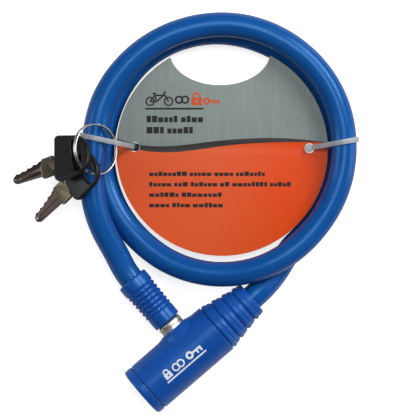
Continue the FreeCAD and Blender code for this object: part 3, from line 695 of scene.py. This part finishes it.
def sleeve_corners():
    corners = [(15.43, 3.3, 0), (15.43, 5.75, 0.25), (15.75, 6.08, 0.3), (20.45, 6.13, 0.3)]
    for i in range(SLEEVE_RIBS):
        y = RIB_START + i * RIB_PITCH
        taper = (y - TAPER_START) / TAPER_LENGTH
        groove, crest = 5.57 + 0.45 * taper, 6.18 + 0.55 * taper
        corners += [(y, groove, 0.28), (y + 0.5, crest, 0.42),
                    (y + 1.45, crest, 0.42), (y + 1.95, groove, 0.28)]
    return corners + [
        (33.3, 6.5, 0.3), (33.9, 6.73, 0.4), (37.9, 6.73, 0.5), (38.45, 6.15, 0.3),
        (38.45, 5.28, 0.2), (29.7, 5.28, 0), (29.7, 3.3, 0)]


COLLAR = [
    (9.68, 3.25, 0), (9.68, 5.0, 0.2), (10.0, 5.33, 0.3), (12.55, 5.33, 0.1),
    (12.75, 5.1, 0.08), (13.05, 5.1, 0.08), (13.25, 5.33, 0.1), (14.5, 5.33, 0.5),
    (15.32, 4.75, 0.2), (15.32, 3.25, 0)]
LOCKING_PIN = [
    (-5.18, 0.02, 0), (-5.18, 2.9, 0.3), (-4.2, 3.98, 0.4), (1.62, 3.98, 0.12),
    (1.75, 2.42, 0.15), (3.45, 2.42, 0.15), (3.58, 3.98, 0.12), (9.35, 3.98, 0.1),
    (9.55, 3.18, 0.1), (21.75, 3.18, 0), (21.75, 0.02, 0)]

build_turned("pin_sleeve", sleeve_corners(), PIN, "y", 224, ABS, "pin_end")
build_turned("pin_collar", COLLAR, PIN, "y", 192, CHROME, "pin_end")
build_turned("locking_pin", LOCKING_PIN, PIN, "y", 160, STEEL, "pin_end", steps=4)

# ---------------------------------------------------------------- cable
COIL_X, COIL_Y = -0.5395, 0.249  # centre of the coil
LOW_Z, HIGH_Z = 6.27, 16.75  # cable axis on the lower and the upper turn
CABLE_STEP = 0.7
BODY_EXIT, PIN_EXIT = 61.1, 38.8  # where the free cable starts and ends, along BODY x and PIN y
# x, y, z between the barrel and the lower turn
CABLE_ENTRY = [(18.76, -55.78, 9.5), (24.36, -48.51, 7.1), (28.93, -41.46, 6.35)]
# degrees and radius about the coil's centre
LOWER_TURN = [
    (-40, 50.132), (-20, 49.8), (0, 50.0075), (20, 49.5925), (40, 49.302), (58, 48.887),
    (76, 48.887), (95, 49.219), (115, 49.385), (135, 49.0945), (155, 48.555), (175, 48.472)]
CLIMB = [(212, 49.302), (228, 49.717), (244, 50.547), (260, 51.211), (276, 51.626)]
CLIMB_START, CLIMB_SPAN = 185.0, 115.0  # degrees over which the cable rises
# degrees, radius and z, where the upper turn passes over the entry
CROSSING = [(292, 51.709, 17.35), (308, 51.46, 17.6), (325, 51.294, 17.2), (342, 51.543, 16.9)]
UPPER_TURN = [
    (0, 51.792), (20, 52.207), (40, 52.29), (60, 52.124), (80, 51.958), (100, 51.5845),
    (120, 51.543), (140, 51.709), (160, 51.875)]
# x, y, z between the upper turn and the pin sleeve
CABLE_RETURN = [
    (-52.66, -3.07, HIGH_Z), (-53.0, -13.86, HIGH_Z - 0.3), (-51.5, -24.24, 15.9),
    (-48.18, -33.45, 14.4), (-43.28, -42.5, 12.3)]


def climb_z(degrees):
    t = (degrees - CLIMB_START) / CLIMB_SPAN
    return LOW_Z + (HIGH_Z - LOW_Z) * t * t * (3 - 2 * t)


def cable_stations():
    turns = [(a, r, LOW_Z) for a, r in LOWER_TURN]
    turns.append((195, 48.887, LOW_Z + 0.35))
    turns += [(a, r, climb_z(a)) for a, r in CLIMB]
    turns += CROSSING
    turns += [(a, r, HIGH_Z) for a, r in UPPER_TURN]
    coil = [(r * math.cos(math.radians(a)) + COIL_X, r * math.sin(math.radians(a)) + COIL_Y, z)
            for a, r, z in turns]
    return CABLE_ENTRY + coil + CABLE_RETURN


def cable_path():
    """Smooth curve through the stations, with straight ends inside the fittings."""
    body, pin = np.array(BODY), np.array(PIN)
    out_of_body, out_of_pin = body[:3, 0], pin[:3, 1]
    start = body[:3, 3] + out_of_body * BODY_EXIT
    stop = pin[:3, 3] + out_of_pin * PIN_EXIT
    points = np.array([start] + [np.array(s) for s in cable_stations()] + [stop])
    run = run_along(points)
    n = len(points)
    gap = np.diff(run)
    # slopes of the cubic spline whose end directions are fixed
    system = np.zeros((n, n))
    target = np.zeros((n, 3))
    system[0, 0] = system[-1, -1] = 1
    target[0], target[-1] = out_of_body, -out_of_pin
    for i in range(1, n - 1):
        before, after = gap[i - 1], gap[i]
        system[i, i - 1:i + 2] = after, 2 * (before + after), before
        target[i] = 3 * (after * (points[i] - points[i - 1]) / before
                         + before * (points[i + 1] - points[i]) / after)
    slope = np.linalg.solve(system, target)
    samples = np.linspace(0, run[-1], int(run[-1] / CABLE_STEP))
    k = np.clip(np.searchsorted(run, samples, side="right") - 1, 0, n - 2)
    s = ((samples - run[k]) / gap[k])[:, None]
    width = gap[k][:, None]
    middle = ((2 * s**3 - 3 * s**2 + 1) * points[k] + (s**3 - 2 * s**2 + s) * width * slope[k]
              + (-2 * s**3 + 3 * s**2) * points[k + 1] + (s**3 - s**2) * width * slope[k + 1])
    head = start[None] - out_of_body[None] * np.linspace(16.5, CABLE_STEP, 24)[:, None]
    tail = stop[None] - out_of_pin[None] * np.linspace(CABLE_STEP, 8.0, 12)[:, None]
    return np.vstack([head, middle, tail])


# Unevenness of the jacket: height, radians per mm of run, waves around, phase.
RIPPLES = [(0.022, 0.05, 2, 0.4), (0.012, 0.17, 3, 1.9), (0.008, 0.61, 1, 4.0)]


def jacket_wobble(run, angle):
    waves = sum(height * np.sin(run * rate + around * angle + phase)
                for height, rate, around, phase in RIPPLES)
    return waves - 0.03


def build_cable():
    """Jacket and rope, each in a coil attached to the lock body and a tail left unattached in
    the scene.
    """
    path = cable_path()
    split_point = np.array([-52.9, -6.0, HIGH_Z])
    split = int(np.argmin(np.linalg.norm(path - split_point, axis=1)))
    coil_path, tail_path = path[:split + 1], path[split:]
    for node, radius, material, slot, wobble, seg in (
            ("cable_jacket", 5.19, PVC, "blue_pvc", jacket_wobble, 72),
            ("steel_rope", 1.88, STEEL, "steel", None, 20)):
        coil = tube(node + "_coil", coil_path, radius, seg, wobble=wobble)
        tail = tube(node + "_tail", tail_path, radius, seg, wobble=wobble,
                    run_start=float(run_along(coil_path)[-1]))
        for part in (coil, tail):
            paint(part, material)
            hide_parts(node)
        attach(coil, "lock_body")
        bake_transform(tail)


build_cable()

# ---------------------------------------------------------------- card
CARD_X, CARD_Y, CARD_R = 0.7, 0.25, 43.95
# the elliptical notch in the card's +y edge
NOTCH_X, NOTCH_Y, NOTCH_RX, NOTCH_RY = -0.1, 40.9, 20.8, 13.7
TIE_HOLE_LEFT, TIE_HOLE_RIGHT, TIE_HOLE_R = (-35.4, 1.5), (37.0, 1.0), 2.02
PRINT_Z = 11.646
PRINT_THICK = 0.016


def card_outline():
    """Disc outline outside the notch, then back along the notch."""
    def in_notch_frame(point):
        return (point[0] - NOTCH_X) / NOTCH_RX, (point[1] - NOTCH_Y) / NOTCH_RY

    rim = []
    for k in range(2001):
        angle = 2 * math.pi * k / 2000
        x, y = in_notch_frame(arc(CARD_X, CARD_Y, CARD_R, [angle])[0])
        if x ** 2 + y ** 2 >= 1.0:
            rim.append(angle)
    right = max(a for a in rim if a < math.pi / 2)
    left = min(a for a in rim if a > math.pi / 2)
    n = 260
    out = arc(CARD_X, CARD_Y, CARD_R,
              [left + (2 * math.pi + right - left) * k / n for k in range(n + 1)])
    ends = []
    for point in (out[-1], out[0]):
        x, y = in_notch_frame(point)
        ends.append(math.atan2(y, x))
    for k in range(1, 120):
        angle = ends[0] + (ends[1] - ends[0]) * k / 120
        out.append((NOTCH_X + NOTCH_RX * math.cos(angle), NOTCH_Y + NOTCH_RY * math.sin(angle)))
    return out


def mark(name, loops, material=INK_DARK, z=PRINT_Z):
    return paint(flat(name, loops, PRINT_THICK, z0=z), material)


def blocks(name, x, y, height, width, words):
    """A line of plain upright blocks in word-like groups, fitted to a width."""
    gap, word_gap = 0.13, 0.34
    spans, end = [], 0.0
    for word in words:
        for _ in range(word):
            wide = 0.46 + 0.34 * random.random()
            spans.append((end, wide, 1.0 if random.random() < 0.3 else 0.76))
            end += wide + gap
        end += word_gap
    k = width / (end - gap - word_gap)
    return mark(name, [rect(x + a * k, y, x + (a + wide) * k, y + tall * height)
                       for a, wide, tall in spans], z=PRINT_Z + 0.002)


def sized(points, x, y, size):
    return [(x + a * size, y + b * size) for a, b in points]


def annulus(x, y, outer, inner, n_outer=36, n_inner=30):
    return [circle(x, y, outer, n_outer), circle(x, y, inner, n_inner)]


def chain_links(x, y, inner):
    return [annulus(x + shift, y, 1.75, inner) for shift in (0, 2.5)]


def padlock(x, y, s):
    """Loops of the body, outline of the shackle."""
    middle = x + 0.39 * s
    body = [rect(x, y, x + 0.78 * s, y + 0.56 * s), circle(middle, y + 0.28 * s, 0.10 * s, 20)]
    outer, inner = 0.31 * s, 0.17 * s
    foot, centre = y + 0.5 * s, y + 0.66 * s
    shackle = ([(middle + outer, foot)]
               + arc(middle, centre, outer, np.linspace(0, math.pi, 20))
               + [(middle - outer, foot), (middle - inner, foot)]
               + arc(middle, centre, inner, np.linspace(math.pi, 0, 20))
               + [(middle + inner, foot)])
    return body, shackle


KEY_STEM = [
    (0.5, 0.20), (0.78, 0.20), (0.78, 0), (0.90, 0), (0.90, 0.20), (1.06, 0.20), (1.06, 0),
    (1.20, 0), (1.20, 0.35), (0.5, 0.35)]


def key_sign(x, y, s):
    """Loops of the bow, outline of the stem."""
    bow = annulus(x + 0.27 * s, y + 0.27 * s, 0.27 * s, 0.12 * s, 36, 24)
    return bow, sized(KEY_STEM, x, y, s)


# Frame of the bicycle sign, as shares of its length: start, end, thickness factor.
BICYCLE_BARS = [
    ((0.17, 0.16), (0.40, 0.15), 1), ((0.17, 0.16), (0.33, 0.37), 1),
    ((0.40, 0.15), (0.32, 0.43), 1), ((0.26, 0.44), (0.38, 0.44), 1.2),
    ((0.40, 0.15), (0.66, 0.38), 1), ((0.33, 0.37), (0.66, 0.38), 1),
    ((0.83, 0.16), (0.65, 0.46), 1), ((0.65, 0.46), (0.74, 0.49), 1.1)]


def bicycle(x, y, s):
    """Marks of a bicycle sign s long."""
    marks = []
    for suffix, hub in (("a", 0.17), ("b", 0.83)):
        wheel = annulus(x + hub * s, y + 0.16 * s, 0.17 * s, 0.118 * s, 40, 40)
        marks.append(mark("card_icon_wheel_" + suffix, wheel))
    for i, (start, end, factor) in enumerate(BICYCLE_BARS):
        outline = bar(*sized((start, end), x, y, s), 0.052 * s * factor)
        marks.append(mark("card_icon_f%d" % i, [outline], z=PRINT_Z + 0.002 * (i + 1)))
    return marks


TEXT_LEFT, TEXT_TOP, TEXT_PITCH = -29.5, -10.55, 4.33
# Lines of small print: x of the right end, blocks in each word.
TEXT_LINES = [(18.4, (8, 5, 4, 7)), (29.2, (5, 3, 6, 2, 8, 5)), (0.6, (6, 8)), (1.0, (4, 4, 6))]


def build_card():
    holes = [circle(x, y, TIE_HOLE_R, 64) for x, y in (TIE_HOLE_LEFT, TIE_HOLE_RIGHT)]
    card = flat("display_card_look", [card_outline()] + holes, 0.43, bevel=0.03, z0=11.21)
    fit(paint(card, CARD), "display_card", "lock_body")


def build_card_printing():
    prints = [blocks("card_title_a", -30.6, 11.75, 2.7, 23.4, (6, 4)),
              blocks("card_title_b", -30.6, 7.1, 2.7, 19.2, (3, 5)),
              mark("card_rule", [rect(-31.2, 17.0, -7.0, 17.75)])]
    for i, (right, words) in enumerate(TEXT_LINES):
        prints.append(blocks("card_line_%d" % i, TEXT_LEFT, TEXT_TOP - TEXT_PITCH * i, 1.85,
                             right - TEXT_LEFT, words))
    prints += bicycle(-31.1, 18.55, 11.6)
    for i, link in enumerate(chain_links(-17.1, 21.1, inner=1.0)):
        prints.append(mark("card_icon_link_%d" % i, link, z=PRINT_Z + 0.002 + 0.003 * i))
    lock_body, shackle = padlock(-12.0, 18.75, 5.6)
    key_bow, key_stem = key_sign(-7.2, 19.0, 5.6)
    upper = PRINT_Z + 0.004
    prints += [mark("card_icon_lock_body", lock_body, INK_ORANGE),
               mark("card_icon_lock_bow", [shackle], INK_ORANGE, upper),
               mark("card_icon_key_bow", key_bow, INK_ORANGE),
               mark("card_icon_key_stem", [key_stem], INK_ORANGE, upper)]
    ob = join("card_printing", prints)
    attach(ob, "lock_body")


build_card()
build_card_printing()

# ---------------------------------------------------------------- white marks on the barrel
MARK_R = 11.0
MARK_CUT_PITCH = 0.35


def wrap_on_barrel(ob):
    """Bends a flat print (x along, y around, z out) over the top of the barrel."""
    with editing(ob.data) as bm:
        for k in range(-14, 15):
            bmesh.ops.bisect_plane(bm, geom=bm.verts[:] + bm.edges[:] + bm.faces[:],
                                   plane_co=(0, k * MARK_CUT_PITCH * MM, 0),
                                   plane_no=(0, 1, 0))
    body = np.array(BODY)
    for v in ob.data.vertices:
        along, around, lift = v.co.x / MM, v.co.y / MM, v.co.z / MM
        angle = around / MARK_R
        radius = MARK_R + lift
        point = (body[:3, 3] + body[:3, 0] * along + body[:3, 1] * (radius * math.sin(angle))
                 + body[:3, 2] * (radius * math.cos(angle)))
        v.co = Vector(point) * MM


def build_cover_printing():
    lock_body, shackle = padlock(12.2, -2.75, 4.3)
    link_a, link_b = chain_links(18.5, -0.95, inner=1.1)
    key_bow, key_stem = key_sign(24.2, -2.6, 6.3)
    signs = [("m_rule", [rect(11.6, -4.15, 32.4, -3.45)]), ("m_lock", lock_body),
             ("m_bow", [shackle]), ("m_link_a", link_a), ("m_link_b", link_b),
             ("m_key_bow", key_bow), ("m_key_stem", [key_stem])]
    ob = join("cover_printing",
              [paint(flat(name, loops, 0.02), INK_WHITE) for name, loops in signs])
    wrap_on_barrel(ob)
    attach(ob, "lock_body")


build_cover_printing()

# ---------------------------------------------------------------- ties
STRAP_HALF_THICK, STRAP_HALF_WIDTH = 0.43, 1.07
STRAP_CLEARANCE = 0.1 + 0.45  # from the wrapped circles to the strap's middle


def hull_path(circles, extra, step=0.35):
    """Closed path of a belt around (x, y, radius) circles, held off by extra."""
    n = len(circles)
    spans = []
    for i in range(n):
        x1, y1, r1 = circles[i]
        x2, y2, r2 = circles[(i + 1) % n]
        r1, r2 = r1 + extra, r2 + extra
        apart = math.hypot(x2 - x1, y2 - y1)
        angle = math.atan2(y2 - y1, x2 - x1) - math.acos((r1 - r2) / apart)
        spans.append((arc(x1, y1, r1, [angle])[0], arc(x2, y2, r2, [angle])[0], angle))
    out = []
    for i in range(n):
        p, q, start = spans[i]
        m = max(2, int(math.dist(p, q) / step))
        out += [(p[0] + (q[0] - p[0]) * k / m, p[1] + (q[1] - p[1]) * k / m) for k in range(m)]
        x, y, r = circles[(i + 1) % n]
        r += extra
        end = spans[(i + 1) % n][2]
        while end < start:
            end += 2 * math.pi
        m = max(3, int((end - start) * r / step))
        out += arc(x, y, r, [start + (end - start) * k / m for k in range(m)])
    return np.array(out)


def strap(name, circles, origin, ex, ey, ez):
    """Closed band in the ex-ez plane, wide along ey."""
    path = hull_path(circles, STRAP_CLEARANCE)
    tangent = unit_rows(np.roll(path, -1, 0) - np.roll(path, 1, 0))
    base = origin + ex * path[:, :1] + ez * path[:, 1:]
    outward = ex * tangent[:, 1:] + ez * -tangent[:, :1]
    section = np.array(fillet(even(rect(-STRAP_HALF_THICK, -STRAP_HALF_WIDTH,
                                        STRAP_HALF_THICK, STRAP_HALF_WIDTH), 0.22), 4))
    verts = base[:, None] + outward[:, None] * section[None, :, :1] + ey * section[None, :, 1:]
    faces = ring_faces(len(path), len(section), closed=True)
    ob = add_mesh(name, verts.reshape(-1, 3), faces)
    with editing(ob.data) as bm:
        bmesh.ops.recalc_face_normals(bm, faces=bm.faces)
    return ob


def build_tie(name, circles, hole, heading, plates):
    """A strap through a card hole, heading in degrees, and the plates of its head and of
    painted shadow.
    """
    h = math.radians(heading)
    origin = np.array([hole[0], hole[1], 0.0])
    ex, ey = np.array([math.cos(h), math.sin(h), 0]), np.array([-math.sin(h), math.cos(h), 0])
    ez = np.array([0, 0, 1.0])
    parts = [paint(strap(name + "_strap", circles, origin, ex, ey, ez), NYLON)]
    matrix = frame_of(ex, ey, ez, origin)
    for suffix, material, outline, size in plates:
        parts.append(paint(flat(name + suffix, [outline], matrix=matrix, **size), material))
    fit(join(name + "_look", parts), name, "lock_body")


# Each strap wraps circles of (distance from the hole, z, radius).
build_tie(
    "cable_tie_left",
    [(1.5, 11.4, 0.42), (13.727, 6.271, 5.25), (16.888, 16.815, 5.25), (7.749, 19.745, 2.05)],
    TIE_HOLE_LEFT, 168.2,
    [("_head", NYLON, fillet(even(rect(-1.65, -1.65, 1.65, 1.65), 0.5)),
      dict(thick=2.6, bevel=0.25, z0=7.95)),
     # a dark disc on the head under the card hole, painted shadow in the hole
     ("_hole_shadow", INK_DARK, circle(-0.25, 0, 1.62), dict(thick=0.14, bevel=0.03, z0=10.5))])
build_tie(
    "cable_tie_right",
    [(0.6, 11.4, 0.42), (12.551, 6.271, 5.25), (14.451, 16.741, 5.25)],
    TIE_HOLE_RIGHT, 10.1,
    [("_head", NYLON, circle(-0.2, 0, 1.66, 48),
      dict(thick=1.45, bevel=0.35, steps=4, z0=12.12))])

# ---------------------------------------------------------------- split ring
RING_AXIS = (0.627962, 0.082673, 0.77384)
RING_FRAME = frame_of((0.76722, 0.101006, -0.633381), (-0.130526, 0.991445, 0.0), RING_AXIS,
                      (-51.3, 0.25, 26.3))
RING_R, RING_WIRE_R = 10.35, 0.45
RING_TURNS, RING_RISE = 1.93, 0.95  # rise for each turn
RING_START = math.radians(100)


def build_split_ring():
    turn = np.linspace(0, 2 * math.pi * RING_TURNS, 420)
    helix = np.stack([RING_R * np.cos(turn + RING_START), RING_R * np.sin(turn + RING_START),
                      RING_RISE * turn / (2 * math.pi) - RING_TURNS / 2 * RING_RISE], 1)
    ring = tube("split_ring_look", placed(helix, RING_FRAME), RING_WIRE_R, 28, up=RING_AXIS)
    fit(paint(ring, RING_WIRE), "split_ring", "ring")


build_split_ring()

# ---------------------------------------------------------------- keys
# Key frame: x from the head towards the blade's tip, z through the thickness.
# Each key: frame, side of its frame it lies on (+1 or -1), x of the slot in its head.
KEYS = {
    "key_1": (frame_of((-0.8114, -0.29638, -0.50378), (0.10494, -0.92177, 0.37327),
                       (-0.575, 0.25, 0.77902), (-67.7, -6.5, 23.921317)), 1, -12.109),
    "key_2": (frame_of((-0.63557, -0.63087, -0.44503), (0.51677, -0.77589, 0.36185),
                       (-0.57358, 0.0, 0.81915), (-63.7, -15.5, 23.791806)), -1, -12.214)}
KEY_OFFSET = 0.08 + 1.2  # from the frame's origin to the key's middle plane
HEAD_THICK = 2.36
CORE_BOTTOM, CORE_THICK = -0.74, 1.06
SLOT_Y, SLOT_REACH, SLOT_R = -0.3, 4.7, 2.42
FACE_FROM = 5.9  # the shoulder is before this x, the cut face beyond it
BLADE = [
    (-7.0, -2.35), (0.05, -2.35), (0.05, -4.25), (5.65, -4.25), (5.95, -3.7), (7.37, -3.5),
    (7.98, -2.95), (9.2, -2.95), (10.07, -3.25), (10.87, -2.45), (12.2, -2.35), (13.07, -2.75),
    (13.77, -1.9), (15.2, -1.85), (15.97, -2.35), (16.67, -1.65), (18.1, -1.55), (18.97, -2.0),
    (19.87, -1.3), (20.83, -0.55), (21.03, 0.4), (20.55, 1.57), (19.58, 2.1), (6.17, 2.95),
    (5.87, 4.05), (5.0, 4.25), (0.05, 4.25), (0.05, 2.35), (-7.0, 2.35)]
BLADE_GROOVE = [(6.6, 0.4), (19.0, 0.4), (19.0, 1.2), (6.6, 1.2)]
HEAD = [(0.25, 8.15, 3.0), (-2.0, -12.53, 1.8), (-18.35, -7.2, 8.6), (-18.35, 8.15, 7.2)]


def build_blade(key, matrix, middle):
    """A full-length core with a raised shoulder and a raised, grooved face."""
    shoulder_outline = [p for p in BLADE if p[0] < FACE_FROM]
    face_outline = [(5.72, -3.85)] + [p for p in BLADE if p[0] > FACE_FROM] + [(5.72, 3.3)]
    core_top = middle + CORE_BOTTOM + CORE_THICK
    core = flat(key + "_blade_core", [fillet(even(BLADE, 0.06), 2)], CORE_THICK, matrix,
                bevel=0.05, z0=middle + CORE_BOTTOM)
    shoulder = flat(key + "_blade_shoulder", [fillet(even(shoulder_outline, 0.1), 3)], 0.42,
                    matrix, bevel=0.06, z0=core_top)
    face_loops = [fillet(even(face_outline, 0.06), 2), fillet(even(BLADE_GROOVE, 0.3), 4)]
    face = flat(key + "_blade_face", face_loops, 0.30, matrix, bevel=0.07, z0=core_top)
    paint(core, NICKEL_CUT)
    paint(shoulder, NICKEL)
    paint(face, NICKEL_CUT)
    blade = join(key + "_blade_look", [core, shoulder, face])
    fit(blade, key + "_blade", key)


def build_head(key, matrix, middle, slot_x):
    """A slotted plate and a thin black sheet of painted shade that closes the -y part of the
    slot.
    """
    slot = []
    for end, first in ((1, 0), (-1, 180)):
        slot += arc(slot_x, SLOT_Y + SLOT_REACH * end, SLOT_R,
                    [math.radians(first + 180 * k / 14) for k in range(15)])
    plate = flat(key + "_head_plate", [fillet(HEAD, 12), slot], HEAD_THICK, matrix,
                 bevel=0.75, steps=7, z0=middle - HEAD_THICK / 2)
    # a thin black sheet of painted shade under the -y part of the slot
    shade_sheet_outline = fillet(even(rect(slot_x - 2.9, -7.9, slot_x + 2.9, -0.4), 0.3), 3)
    shade_sheet = flat(key + "_head_shade_sheet", [shade_sheet_outline], 0.9, matrix, bevel=0.1, z0=middle - 1.1)
    paint(plate, BLACK)
    paint(shade_sheet, BLACK)
    fit(join(key + "_head_look", [plate, shade_sheet]), key + "_head", key)


for key, (matrix, side, slot_x) in KEYS.items():
    build_blade(key, matrix, side * KEY_OFFSET)
    build_head(key, matrix, side * KEY_OFFSET, slot_x)

# ---------------------------------------------------------------- CAD pieces that stay visible
CAD_MATERIALS = {
    "lock_housing": ZINC, "plug": BRASS, "wafer_tumblers": BRASS, "wafer_springs": SPRING,
    "plug_clip": SPRING, "locking_bolt": STEEL, "lock_end_ferrule": STEEL,
    "ferrule_cross_pin": STEEL, "pin_end_crimp": STEEL}
for name, material in CAD_MATERIALS.items():
    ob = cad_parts[name]
    for slot in ob.material_slots:
        slot.link = "OBJECT"
        slot.material = material
    if not ob.material_slots:
        ob.data.materials.append(material)

# ---------------------------------------------------------------- floor, lights, camera
FLOOR_HALF, FLOOR_Z = 3000, -0.05


def floor_paper():
    """White paper that glows a little, for the camera only."""
    m = Mat("floor_paper")
    grain = m.noise(m.coords(), scale=400)
    path = m.node("ShaderNodeLightPath")
    glow = m.node("ShaderNodeEmission")
    glow.inputs["Color"].default_value = (1, 1, 1, 1)
    glow.inputs["Strength"].default_value = 0.72
    lit = m.node("ShaderNodeAddShader")
    select = m.node("ShaderNodeMixShader")
    m.finish(m.ramp(grain, {0.3: (0.80, 0.80, 0.80), 0.7: (0.84, 0.84, 0.84)}),
             m.remap(grain, to=(0.6, 0.7)), m.bump(grain, strength=0.02, distance=0.0001))
    m.set(Specular_IOR_Level=0.2)
    paper = m.bsdf.outputs[0]
    m.link(paper, lit.inputs[0])
    m.link(glow.outputs[0], lit.inputs[1])
    m.link(path.outputs["Is Camera Ray"], select.inputs[0])
    m.link(paper, select.inputs[1])
    m.link(lit.outputs[0], select.inputs[2])
    m.link(select.outputs[0], m.tree.nodes["Material Output"].inputs["Surface"])
    return m.material


floor_corners = rect(-FLOOR_HALF, -FLOOR_HALF, FLOOR_HALF, FLOOR_HALF)
floor = add_mesh("floor", [(x, y, FLOOR_Z) for x, y in floor_corners], [(0, 1, 2, 3)])
paint(floor, floor_paper())

scene = bpy.context.scene
world = bpy.data.worlds.new("studio")
scene.world = world
world.use_nodes = True
background = world.node_tree.nodes["Background"]
background.inputs["Color"].default_value = (1, 1, 1, 1)
background.inputs["Strength"].default_value = 0.10

LIGHT_TARGET = Vector((0, -20, 0)) * MM


def area(name, place, size, size_y, power):
    """Area light at a place in mm; its sizes are in metres and its power in watts."""
    light = bpy.data.lights.new(name, "AREA")
    light.shape = "RECTANGLE"
    light.size, light.size_y = size, size_y
    light.energy = power
    ob = bpy.data.objects.new(name, light)
    ob.location = Vector(place) * MM
    ob.rotation_mode = "QUATERNION"
    ob.rotation_quaternion = (LIGHT_TARGET - ob.location).to_track_quat("-Z", "Y")
    scene.collection.objects.link(ob)


area("key", (1050, 850, 1050), size=0.75, size_y=0.75, power=19.0)
area("over", (120, 420, 1850), size=0.9, size_y=0.9, power=14.0)
area("right", (1500, -60, 330), size=0.5, size_y=1.2, power=5.0)
area("left", (-1500, 120, 900), size=0.7, size_y=1.2, power=6.5)

CAMERA_X, CAMERA_Y = -4.2745, -24.651
CAMERA_DISTANCE = 1500.0  # above the plane at AIM_Z
AIM_Z = 11.0
VIEW_WIDTH = 174.3  # width seen at that plane
SENSOR_WIDTH = 36

camera = bpy.data.cameras.new("camera")
camera.sensor_width = SENSOR_WIDTH
camera.lens = CAMERA_DISTANCE * SENSOR_WIDTH / VIEW_WIDTH
camera.clip_start, camera.clip_end = 0.05, 20
camera_object = link_object("camera", camera)
camera_object.location = Vector((CAMERA_X, CAMERA_Y, CAMERA_DISTANCE + AIM_Z)) * MM
scene.camera = camera_object
scene.view_settings.view_transform = "Standard"
